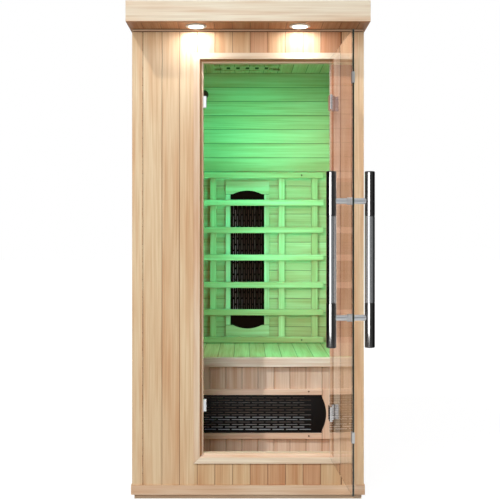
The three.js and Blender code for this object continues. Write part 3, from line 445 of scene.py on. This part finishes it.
ground_edge = moulded("ground glass edge", ["#dde2e6", "#f0f3f6"], (0.5, 0.6), 14, 0.02)


# Opal lenses: diffusing acrylic lit from behind, a little uneven

def lit_lens(name, tones, strength, spread):
    """Opal acrylic that glows unevenly over patches of the given millimetres."""
    material, tree, shader, where = new_finish(name, Roughness=0.35, Emission_Strength=strength)
    uneven = add(tree, "ShaderNodeTexNoise", {"Vector": where, "Scale": 1 / (spread * MM), "Detail": 1})
    glow = add(tree, "ShaderNodeValToRGB", {"Fac": uneven.outputs[0]})
    set_tones(glow, tones)
    tree.links.new(glow.outputs[0], shader.inputs["Base Color"])
    tree.links.new(glow.outputs[0], shader.inputs["Emission Color"])
    return material


warm_lens = lit_lens("opal lens painted reflection of white", ["#fff3df", "#fffaf0"], 6, 25)
green_lens = lit_lens("opal lens green", ["#58d857", "#7cf07a"], 2, 60)


# Finishes of the solids

hinge_pieces = [f"hinge_{end}_{piece}" for end in ("upper", "lower")
                for piece in ("frame_leaf", "pin", "glass_clamp")]
finishes = {
    front_wood: ["front_panel_left", "front_panel_right"],
    header_wood: ["front_panel_header"],
    sill_wood: ["front_panel_sill"],
    side_wood: ["left_wall", "right_wall"],
    back_wood: ["back_wall"],
    floor_wood: ["floor_panel"],
    crown_wood: ["crown_front"],
    crown_side_wood: ["crown_left", "crown_right"],
    soffit_wood: ["crown_soffit"],
    moulding_wood: ["crown_moulding"],
    ceiling_wood: ["ceiling_panel", "bench_seat"],
    slider_wood: ["vent_slider"],
    upright_wood: ["door_frame_left", "door_frame_right"],
    head_wood: ["door_frame_head"],
    rail_wood: ["door_frame_sill"],
    bench_wood: ["bench_front_panel"],
    nosing_wood: ["bench_nosing"],
    slat_wood: [f"backrest_slat_{i}" for i in range(1, 8)],
    post_wood: [f"backrest_post_{i}" for i in range(1, 5)],
    back_heater_wood: ["back_heater_frame"],
    leg_heater_wood: ["leg_heater_frame"],
    roof_wood: ["roof_cover"],
    enamel: ["back_heater_grille", "leg_heater_grille"],
    back_reflector: ["back_heater_tray"],
    leg_reflector: ["leg_heater_tray"],
    chrome: hinge_pieces,
    satin_steel: ["strike_upper", "strike_lower"],
    white_abs: ["magnet_upper", "magnet_lower"],
    black_abs: ["control_panel"],
    nylon: ["cable_gland"],
    galvanised: ["control_box"],
}
for material, names in finishes.items():
    for name in names:
        for holder in nodes[name].material_slots:
            holder.material = material


# Eased edges: planed wood and pressed metal have no knife edge, so each edge catches a little light

EDGE_ANGLE = math.radians(26)
WOOD_EASE = 0.9 * MM
METAL_EASE = 0.6 * MM

smooth_faces = bpy.data.node_groups.new("smooth rounded edges", "GeometryNodeTree")
smooth_faces.interface.new_socket("Geometry", in_out="INPUT", socket_type="NodeSocketGeometry")
smooth_faces.interface.new_socket("Geometry", in_out="OUTPUT", socket_type="NodeSocketGeometry")
entry = add(smooth_faces, "NodeGroupInput")
bend = add(smooth_faces, "GeometryNodeInputMeshEdgeAngle")
gentle = add(smooth_faces, "FunctionNodeCompare", {0: bend.outputs["Unsigned Angle"], 1: EDGE_ANGLE},
             data_type="FLOAT", operation="LESS_EQUAL")
faces = add(smooth_faces, "GeometryNodeSetShadeSmooth", {"Geometry": entry.outputs[0]}, domain="FACE")
edges = add(smooth_faces, "GeometryNodeSetShadeSmooth", {
    "Geometry": faces.outputs[0], "Shade Smooth": gentle.outputs[0]}, domain="EDGE")
add(smooth_faces, "NodeGroupOutput", {0: edges.outputs[0]})


def ease_edges(name, width):
    """Joins the loose facets of a solid, rounds its edges a little and shades the roundings smooth."""
    solid = nodes[name]
    weld = solid.modifiers.new("joined facets", "WELD")
    weld.merge_threshold = 0.01 * MM
    flat = solid.modifiers.new("whole faces", "DECIMATE")
    flat.decimate_type = "DISSOLVE"
    flat.angle_limit = math.radians(0.5)
    if width:
        easing = solid.modifiers.new("eased edges", "BEVEL")
        easing.width = width
        easing.segments = 3
        easing.limit_method = "ANGLE"
        easing.angle_limit = EDGE_ANGLE
    solid.modifiers.new("smooth rounded edges", "NODES").node_group = smooth_faces
    level = solid.modifiers.new("level faces", "WEIGHTED_NORMAL")
    level.keep_sharp = True


for name in nodes:
    if name in REMODELLED:
        continue
    if name.startswith(("hinge", "strike", "magnet")):
        ease_edges(name, METAL_EASE)
    elif name.endswith(("grille", "tray")) or name in ("control_box", "control_panel", "cable_gland"):
        ease_edges(name, 0)
    else:
        ease_edges(name, WOOD_EASE)


# Modelling

SMOOTH_ANGLE = math.radians(35)
TO_FRONT = (math.pi / 2, 0, 0)
TO_BACK = (-math.pi / 2, 0, 0)


def only(piece):
    """Makes a piece the only one selected and active."""
    bpy.ops.object.select_all(action="DESELECT")
    piece.select_set(True)
    bpy.context.view_layer.objects.active = piece


def settle(piece, location=(0, 0, 0), rotation=(0, 0, 0)):
    """Moves and turns a piece, and puts its place into its mesh."""
    piece.location = location
    piece.rotation_euler = rotation
    only(piece)
    bpy.ops.object.transform_apply(location=True, rotation=True, scale=True)
    return piece


def named(name):
    """Names the piece just added, with its place in its mesh."""
    piece = bpy.context.object
    piece.name = piece.data.name = name
    bpy.ops.object.transform_apply(location=True, rotation=True, scale=True)
    return piece


def profile(pairs, base=0.0, way=1):
    """Pairs of radius and height in millimetres, as metres counted up or down from a base height."""
    return [(radius * MM, base + way * height * MM) for radius, height in pairs]


def turned(name, rings, sides):
    """A round piece on the Z axis, drawn out ring by ring from pairs of radius and height."""
    bpy.ops.object.select_all(action="DESELECT")
    radius, height = rings[0]
    bpy.ops.mesh.primitive_circle_add(
        vertices=sides, radius=radius, fill_type="NGON", location=(0, 0, height))
    piece = named(name)
    bpy.ops.object.mode_set(mode="EDIT")
    bpy.ops.mesh.select_all(action="SELECT")
    for next_radius, next_height in rings[1:]:
        bpy.ops.mesh.extrude_region_move(TRANSFORM_OT_translate={"value": (0, 0, next_height - height)})
        factor = next_radius / radius
        bpy.ops.transform.resize(value=(factor, factor, 1), center_override=(0, 0, next_height))
        radius, height = next_radius, next_height
    bpy.ops.mesh.select_all(action="SELECT")
    bpy.ops.mesh.normals_make_consistent(inside=False)
    bpy.ops.object.mode_set(mode="OBJECT")
    bpy.ops.object.shade_smooth_by_angle(angle=SMOOTH_ANGLE)
    return piece


def block(name, low, high):
    """A block between two corners."""
    bpy.ops.object.select_all(action="DESELECT")
    low, high = Vector(low), Vector(high)
    bpy.ops.mesh.primitive_cube_add(size=1, location=(low + high) / 2, scale=high - low)
    return named(name)


def soften(piece, width, segments=3):
    """Rounds every edge of a piece."""
    rounding = piece.modifiers.new("soft edges", "BEVEL")
    rounding.width = width
    rounding.segments = segments
    only(piece)
    bpy.ops.object.modifier_apply(modifier=rounding.name)
    bpy.ops.object.shade_smooth_by_angle(angle=SMOOTH_ANGLE)
    return piece


def copied(piece, name):
    """A copy of a piece with its own mesh."""
    only(piece)
    bpy.ops.object.duplicate(linked=False)
    twin = bpy.context.object
    twin.name = twin.data.name = name
    return twin


def spread(piece, places, turn):
    """Copies a piece drawn at the origin to every place, turned one way, and joins the copies."""
    name = piece.name
    pieces = [piece] + [copied(piece, f"{name}_{i}") for i in range(1, len(places))]
    for each, place in zip(pieces, places):
        settle(each, place, turn)
    only(piece)
    for each in pieces:
        each.select_set(True)
    bpy.ops.object.join()
    return piece


def fit(piece, body, material):
    """Gives a piece its finish, and lets it move with a body."""
    piece.data.materials.clear()
    piece.data.materials.append(material)
    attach(piece, body)


def middle(name, axes):
    """Middle of a solid's box along each of the given axes."""
    low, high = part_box(name)
    return [(getattr(low, axis) + getattr(high, axis)) / 2 for axis in axes]


def closed_box(name):
    """Corners of a door piece's solid with the door shut, measured from the hinge axis."""
    shut = Matrix.Rotation(-OPEN, 4, "Z") @ Matrix.Translation(-HINGE)
    points = [shut @ corner.co for corner in nodes[name].data.vertices]
    return [Vector([pick(p[i] for p in points) for i in range(3)]) for pick in (min, max)]


def hang(piece):
    """Swings a piece drawn on the shut door, about the hinge axis, to where the door stands open."""
    return settle(piece, HINGE, (0, 0, OPEN))


# Door pane: toughened glass with rounded corners, polished edges and a ground edge at the hinges

pane_low, pane_high = closed_box("door_glass")
pane = block("door_pane", pane_low, pane_high)
bpy.ops.object.mode_set(mode="EDIT")
bpy.ops.mesh.select_mode(type="EDGE")
bpy.ops.mesh.select_all(action="DESELECT")
bpy.ops.object.mode_set(mode="OBJECT")
for edge in pane.data.edges:
    start, end = (pane.data.vertices[i].co for i in edge.vertices)
    edge.select = abs(start.y - end.y) > 1 * MM
bpy.ops.object.mode_set(mode="EDIT")
bpy.ops.mesh.bevel(offset=4 * MM, segments=4, affect="EDGES")
bpy.ops.object.mode_set(mode="OBJECT")
soften(pane, 0.8 * MM, 2)
bpy.ops.object.shade_flat()
pane_finishes = [glass, glass_edge, ground_edge]
for finish in pane_finishes:
    pane.data.materials.append(finish)
for face in pane.data.polygons:
    if abs(face.normal.y) > 0.99:
        finish = glass
    elif face.normal.x > 0.9:
        finish = ground_edge
    else:
        finish = glass_edge
    face.material_index = pane_finishes.index(finish)
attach(hang(pane), "door")
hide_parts("door_glass")


# Pull handles: a bright bar between two black grips, on two standoffs with collars at the glass

GRIP_LENGTH = 150 * MM
BAR_RADIUS = 17 * MM
BAR_SEAM = 0.8 * MM
TONGUE = 3 * MM
COLLAR_LENGTH = 9 * MM
STANDOFF_HEIGHTS = (750 * MM, 1140 * MM)


def pull_handle(side, solid, bar_y, glass_y):
    """One pull handle on the shut door, from its bar to the face of the glass."""
    low, high = closed_box(solid)
    x = (low.x + high.x) / 2
    r, seam = BAR_RADIUS, BAR_SEAM
    start, stop = low.z + GRIP_LENGTH, high.z - GRIP_LENGTH
    middle = turned(f"handle_{side}_bar", [
        (r - 2 * MM, start - TONGUE), (r - seam, start - TONGUE), (r - seam, start + seam),
        (r, start + 2 * seam), (r, stop - 2 * seam),
        (r - seam, stop - seam), (r - seam, stop + TONGUE), (r - 2 * MM, stop + TONGUE)], 64)
    grip = [(r - 4 * MM, 0), (r - 2.2 * MM, 0.3 * MM), (r - 0.9 * MM, 1.2 * MM), (r - 0.2 * MM, 2.6 * MM),
            (r, 4 * MM), (r, GRIP_LENGTH - seam), (r - seam, GRIP_LENGTH), (r - 3 * MM, GRIP_LENGTH)]
    lower = turned(f"handle_{side}_lower_grip", [(a, low.z + b) for a, b in grip], 64)
    upper = turned(f"handle_{side}_upper_grip", [(a, high.z - b) for a, b in grip], 64)
    for piece in (middle, lower, upper):
        settle(piece, (x, bar_y, 0))
        hang(piece)
    fit(middle, "door", bar_chrome)
    for piece in (lower, upper):
        fit(piece, "door", grip_lacquer)
    reach = abs(glass_y - bar_y)
    collar = reach - COLLAR_LENGTH
    foot = [(10 * MM, BAR_RADIUS - 6 * MM), (10 * MM, collar), (12.2 * MM, collar),
            (13 * MM, collar + 1 * MM), (13 * MM, reach - 1 * MM),
            (12.4 * MM, reach - 0.3 * MM), (8 * MM, reach - 0.3 * MM)]
    arms = spread(turned(f"handle_{side}_standoffs", foot, 40), [(x, bar_y, z) for z in STANDOFF_HEIGHTS],
                  TO_BACK if glass_y > bar_y else TO_FRONT)
    fit(hang(arms), "door", satin_steel)
    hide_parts(solid)


pull_handle("outer", "handle_outer", closed_box("handle_outer")[0].y + BAR_RADIUS, pane_low.y)
pull_handle("inner", "handle_inner", closed_box("handle_inner")[1].y - BAR_RADIUS, pane_high.y)


# Downlights: a flat white ring with a rolled rim, an opal lens set back in it, and the can above

for side in ("left", "right"):
    low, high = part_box(f"downlight_{side}")
    x, y = middle(f"downlight_{side}", "xy")
    ring = turned(f"downlight_{side}_ring", profile([
        (29, 1.6), (29.6, 0.5), (30.6, 0), (37, 0), (39, 0.8), (39.8, 2), (39.8, 3.9), (30, 3.9)], low.z)
        + [(30 * MM, high.z)], 64)
    lens = turned(f"downlight_{side}_lens", profile([
        (28.6, 1.55), (28.4, 1.1), (26, 0.7), (20, 0.45), (8, 0.3)], low.z), 64)
    fit(settle(ring, (x, y, 0)), "cabin", white_enamel)
    fit(settle(lens, (x, y, 0)), "cabin", warm_lens)
    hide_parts(f"downlight_{side}")


# Colour light on the ceiling: a low white rim round a domed green lens

low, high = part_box("colour_light")
x, y = middle("colour_light", "xy")
rim = turned("colour_light_rim", profile([
    (55, 6), (56, 8.6), (58, 9.4), (63, 9), (67.5, 6.5), (69.5, 3), (69.8, 0.1)], high.z, -1), 72)
dome = turned("colour_light_lens", profile([
    (54.5, 6.1), (54.5, 8), (50, 10.2), (36, 11.4)], high.z, -1) + [(12 * MM, low.z)], 72)
fit(settle(rim, (x, y, 0)), "cabin", white_enamel)
fit(settle(dome, (x, y, 0)), "cabin", green_lens)
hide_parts("colour_light")


# Temperature sensor: a round black housing with ring grooves, on the back wall

x, z = middle("temperature_sensor", "xz")
wall_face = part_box("temperature_sensor")[1].y
housing = turned("sensor_housing", profile([
    (20.8, 0.1), (20.8, 3), (18, 4), (18, 5), (20, 6), (19.4, 8), (17, 9), (17, 10), (18.4, 11),
    (16, 13.6), (11, 15.2), (4, 16), (3.6, 14.6)]), 48)
fit(settle(housing, (x, wall_face, z), TO_FRONT), "cabin", black_abs)
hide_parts("temperature_sensor")


# Screws: pan heads with a socket, in the backrest, the lower heater frame and the hinges

BACKREST_SCREWS = (-261 * MM, 261 * MM)
LEG_HEATER_SCREWS = (-260 * MM, 260 * MM)
LEG_HEATER_LEVELS = (-93 * MM, 97 * MM)
LEAF_LEVELS = (-20 * MM, 20 * MM)
LEAF_INSET = 6.2 * MM
LEAF_FACE = -458 * MM
CLAMP_LEVELS = (-15 * MM, 15 * MM)
CLAMP_INSET = 15 * MM
CLAMP_PLATE = 4.3 * MM


def screws(name, radius, places):
    """Screw heads that face the front, one at every place."""
    head = turned(name, [(radius * wide, radius * tall) for wide, tall in (
        (1, 0), (1, 0.2), (0.86, 0.42), (0.62, 0.52), (0.42, 0.54), (0.36, 0.12))], 20)
    return spread(head, places, TO_FRONT)


slats = [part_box(f"backrest_slat_{i}") for i in (1, 7)]
fit(screws("backrest_screws", 4.2 * MM, [
    (x, low.y, (low.z + high.z) / 2) for low, high in slats for x in BACKREST_SCREWS]),
    "cabin", screw_steel)
frame_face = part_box("leg_heater_frame")[0].y
fit(screws("leg_heater_screws", 3.6 * MM, [
    (x, frame_face, LEG_HEATER.z + level) for x in LEG_HEATER_SCREWS for level in LEG_HEATER_LEVELS]),
    "cabin", screw_steel)
leaf_screws = []
clamp_screws = []
for end in ("upper", "lower"):
    low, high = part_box(f"hinge_{end}_frame_leaf")
    z = (low.z + high.z) / 2
    leaf_screws += [(high.x - LEAF_INSET, LEAF_FACE, z + level) for level in LEAF_LEVELS]
    clamp_x = closed_box(f"hinge_{end}_glass_clamp")[0].x + CLAMP_INSET
    clamp_screws += [(clamp_x, pane_low.y - CLAMP_PLATE, z + level) for level in CLAMP_LEVELS]
fit(screws("hinge_leaf_screws", 3.4 * MM, leaf_screws), "cabin", chrome)
fit(hang(screws("hinge_clamp_screws", 4.4 * MM, clamp_screws)), "door", chrome)


# Control panel inside, beside the door: a display window over six keys

WINDOW_HALF = 36 * MM
KEY_COLUMNS = (-26 * MM, 0, 26 * MM)
KEY_ROWS = (-14 * MM, -44 * MM)

x, z = middle("control_panel", "xz")
panel_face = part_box("control_panel")[1].y
window = soften(block("control_panel_window", (x - WINDOW_HALF, panel_face - 3 * MM, z + 18 * MM),
                      (x + WINDOW_HALF, panel_face - 0.4 * MM, z + 56 * MM)), 1 * MM)
fit(window, "cabin", display)
touch_key = turned("control_panel_keys", profile([(9, 0), (9, 1.2), (8.4, 1.9), (6, 1.6), (2, 1.4)]), 32)
key_places = [(x + column, panel_face - 2.2 * MM, z + row) for row in KEY_ROWS for column in KEY_COLUMNS]
fit(spread(touch_key, key_places, TO_BACK), "cabin", nylon)


# Floor: plain and pale, white to the camera, glass and metal, with the cabin's shadow kept on it

def seen(tree):
    """1 for rays from the camera, mirrors and glass, and 0 for those that light a surface."""
    rays = add(tree, "ShaderNodeLightPath").outputs
    share = rays["Is Camera Ray"]
    for kind in ("Is Glossy Ray", "Is Transmission Ray"):
        share = add(tree, "ShaderNodeMath", {0: share, 1: rays[kind]}, operation="MAXIMUM").outputs[0]
    return share


bpy.ops.object.select_all(action="DESELECT")
bpy.ops.mesh.primitive_plane_add(size=60)
floor = bpy.context.object
floor.name = "floor"
studio_floor, tree, shader, where = new_finish("pale studio floor", Roughness=0.9)
speckle = add(tree, "ShaderNodeTexNoise", {"Vector": where, "Scale": 1 / (30 * MM), "Detail": 2})
pale = add(tree, "ShaderNodeValToRGB", {"Fac": speckle.outputs[0]})
set_tones(pale, ["#8f8e8c", "#959492"])
tree.links.new(pale.outputs[0], shader.inputs["Base Color"])
share = add(tree, "ShaderNodeMath", {0: seen(tree), 1: 0.5}, operation="MULTIPLY")
white = add(tree, "ShaderNodeEmission", {"Strength": 1.9})
both = add(tree, "ShaderNodeMixShader", {0: share.outputs[0], 1: shader.outputs[0], 2: white.outputs[0]})
tree.links.new(both.outputs[0], tree.nodes["Material Output"].inputs["Surface"])
floor.data.materials.append(studio_floor)


# World: white where it is seen, a softer even light where it falls on the cabin

world = bpy.data.worlds.new("studio")
world.use_nodes = True
bpy.context.scene.world = world
tree = world.node_tree
level = add(tree, "ShaderNodeMapRange", {"Value": seen(tree), "To Min": 0.12, "To Max": 1.0})
tree.links.new(level.outputs[0], tree.nodes["Background"].inputs["Strength"])
tree.nodes["Background"].inputs["Color"].default_value = (1, 1, 1, 1)


# Lamps

def lamp(name, kind, location, aim, colour, power, **settings):
    """A lamp at a place, aimed along a direction."""
    data = bpy.data.lights.new(name, kind)
    data.color = linear(colour)[:3]
    data.energy = power
    for setting, value in settings.items():
        setattr(data, setting, value)
    thing = bpy.data.objects.new(name, data)
    thing.location = location
    thing.rotation_euler = Vector(aim).to_track_quat("-Z", "Y").to_euler()
    bpy.context.scene.collection.objects.link(thing)
    return thing


def hide(thing, *kinds):
    """Hides a lamp or a card from kinds of rays."""
    for kind in kinds:
        setattr(thing, f"visible_{kind}", False)


def chosen(name, members, left_out=False):
    """A collection for light linking: a lamp acts on its members alone, or on everything but them."""
    collection = bpy.data.collections.new(name)
    for member in members:
        collection.objects.link(member)
    if left_out:
        for entry in collection.collection_objects:
            entry.light_linking.link_state = "EXCLUDE"
    return collection


key = lamp("key sun", "SUN", (-2, -3, 4), (0.403, 0.520, -0.753), "#fffdf8", 1.8, angle=math.radians(2))
fill = lamp("fill sun", "SUN", (2, -3, 4), (-0.45, 0.50, -0.74), "#ffffff", 0.2, angle=math.radians(4))
softbox = lamp("front softbox", "AREA", (-1.1, -4.0, 2.0), (0.27, 1, -0.12), "#fffefb", 60,
               shape="RECTANGLE", size=1.6, size_y=1.0)
top_light = lamp("cool top light", "AREA", (-0.5, -2.4, 2.9), (0.5, 1.95, -1.3), "#a8d8ff", 21,
                 shape="RECTANGLE", size=1.4, size_y=0.8)
rear = lamp("rear sun", "SUN", (3, 4, 4), (-0.55, -0.65, -0.52), "#fffdf8", 1.1, angle=math.radians(6))
for light in (key, fill, softbox, top_light, rear):
    hide(light, "camera", "glossy")

# Beams just under the lenses of the downlights

BEAM_DROP = 2 * MM

for side in ("left", "right"):
    low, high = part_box(f"downlight_{side}")
    x, y = middle(f"downlight_{side}", "xy")
    beam = lamp("downlight beam", "AREA", (x, y, low.z - BEAM_DROP), (0, 0, -1), "#f2f5ff", 0.78,
                shape="DISK", size=52 * MM)
    hide(beam, "camera", "glossy")

# The rear sun shows the back and right side, and leaves the floor as it is

rear.light_linking.receiver_collection = chosen("not lit from the rear", [floor], left_out=True)

# The front lamps leave the seat to the colour light

shaded_seat = chosen("shaded from the front light", [nodes["bench_seat"]], left_out=True)
for light in (key, fill, softbox, top_light):
    light.light_linking.receiver_collection = shaded_seat

# The grilles let the front light through to their reflectors without their own shade

grilles = chosen("grilles that cast no shade", [
    nodes["back_heater_grille"], nodes["leg_heater_grille"]], left_out=True)
for light in (softbox, top_light):
    light.light_linking.blocker_collection = grilles

# The colour light's green: soft lamps that reach the lining and backrest and leave the bench front natural

green_names = ["bench_seat", "ceiling_panel", "left_wall", "right_wall", "back_wall", "back_heater_frame"]
green_names += [name for name in nodes if name.startswith(("backrest_", "vent_"))]
green_lit = chosen("lit by the colour light", [nodes[name] for name in green_names])
overhead = lamp("green overhead glow", "AREA", (0.0, -0.06, 1.806), (0, 0, -1), "#06ffc4", 5.2,
                shape="DISK", size=0.12)
upward = lamp("green ceiling glow", "AREA", (0.0, -0.10, 1.40), (0, 0.3, 1), "#06ffc4", 0.3,
              shape="RECTANGLE", size=0.6, size_y=0.4)
beside = lamp("green side glow", "AREA", (0.20, -0.12, 1.00), (0.05, 1, 0), "#48ffc4", 4.6,
              shape="RECTANGLE", size=0.36, size_y=0.9)
for glow in (overhead, upward, beside):
    glow.light_linking.receiver_collection = green_lit
    hide(glow, "camera", "glossy", "transmission")

# Strip lights that only the polished pieces mirror, a stronger one for the dark grips

things = list(bpy.context.scene.objects)
dark_grips = [thing for thing in things if thing.name.endswith("_grip")]
bright_metal = [thing for thing in things if thing.name.startswith(("handle_", "hinge_", "strike_"))
                and thing not in dark_grips]
for name, receivers, power, width in (
        ("metal strip light", chosen("polished metal", bright_metal), 26, 1.5),
        ("grip strip light", chosen("dark grips", dark_grips), 420, 2.4)):
    strip = lamp(name, "AREA", (-1.2, -3.6, 0.95), (0.3, 1, 0), "#ffffff", power,
                 shape="RECTANGLE", size=width, size_y=2.0)
    strip.light_linking.receiver_collection = receivers
    hide(strip, "camera", "diffuse")


# Cards that only mirrors see: flags beside and behind the camera, and glowing cards inside the cabin that
# paint a reflection of natural wood

FLAG_TOP = 2.6
CARD_SIDE = 0.405
LINING_CARD = (0.340, 0.342)
SLAT_CARD = (0.336, 0.338)
SEAT_CARD_BACK = 0.335
BACKREST_TOP = 1.28
PAINTED_REFLECTION_TONE = "#e2a893"
PAINTED_REFLECTION_SECOND_TONE = "#cf8f7e"


def card(name, low, high, colour, strength, lined=False):
    """A flat card between two corners, seen by mirrors alone."""
    board = block(name, low, high)
    material, tree, shader, where = new_finish(f"{name} paint")
    shade = linear(colour)
    if lined:
        shade = boards(tree, where, "X", "Z", [colour, PAINTED_REFLECTION_SECOND_TONE], first=CEILING)[0]
    light = add(tree, "ShaderNodeEmission", {"Color": shade, "Strength": strength})
    tree.links.new(light.outputs[0], tree.nodes["Material Output"].inputs["Surface"])
    board.data.materials.append(material)
    hide(board, "camera", "diffuse", "transmission", "volume_scatter", "shadow")


def reflection_card(name, depths, heights, colour, strength, lined=False):
    """A glowing card across the inside of the cabin, between two depths and two heights, that paints a
    reflection for glass and metal.
    """
    near, far = depths
    bottom, top = heights
    card(name, (-CARD_SIDE, near, bottom), (CARD_SIDE, far, top), colour, strength, lined)


card("dark flag left", (-2.50, -3.20, 0), (-2.49, 2.00, FLAG_TOP), "#101010", 1)
card("grey flag right", (1.70, -3.00, 0), (1.71, -1.30, FLAG_TOP), "#9a9a9a", 1)
card("dark flag right", (1.70, -1.30, 0), (1.71, 0.90, FLAG_TOP), "#151515", 1)
card("grey flag behind the camera", (0.55, -3.40, 0), (1.70, -3.39, FLAG_TOP), "#9a9a9a", 1)
# Painted reflections: glowing cards just in front of the lining, the slats, the seat and the ceiling put
# natural wood in place of the green lining in what the glass and metal mirror; the seat's card also paints a
# warm sheen on the seat
reflection_card("warm boards", LINING_CARD, (BACKREST_TOP, 1.79), PAINTED_REFLECTION_TONE, 0.72, lined=True)
reflection_card("warm boards behind the backrest", LINING_CARD, (0.51, BACKREST_TOP), "#d89a80", 0.48, lined=True)
for name in nodes:
    if name.startswith("backrest_slat"):
        low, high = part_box(name)
        reflection_card(f"warm {name}", SLAT_CARD, (low.z, high.z), PAINTED_REFLECTION_TONE, 0.70)
low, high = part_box("bench_seat")
reflection_card("warm seat", (low.y, SEAT_CARD_BACK), (high.z + 2 * MM, high.z + 3 * MM), "#e4b8a0", 0.80)
reflection_card("warm ceiling", (-0.380, 0.340), (1.788, 1.790), "#c08878", 0.45)


# Camera: level and straight in front of the cabin, with its frame shifted as the photograph's is

camera_data = bpy.data.cameras.new("camera")
camera_data.sensor_width = 36
camera_data.lens = 63.04
camera_data.shift_x = 0.01026
camera_data.shift_y = -0.032
camera = bpy.data.objects.new("camera", camera_data)
camera.location = (-0.012, -3.850, 1.030)
camera.rotation_euler = (math.pi / 2, 0, 0)
bpy.context.scene.collection.objects.link(camera)
bpy.context.scene.camera = camera
bpy.context.scene.view_settings.view_transform = "Standard"
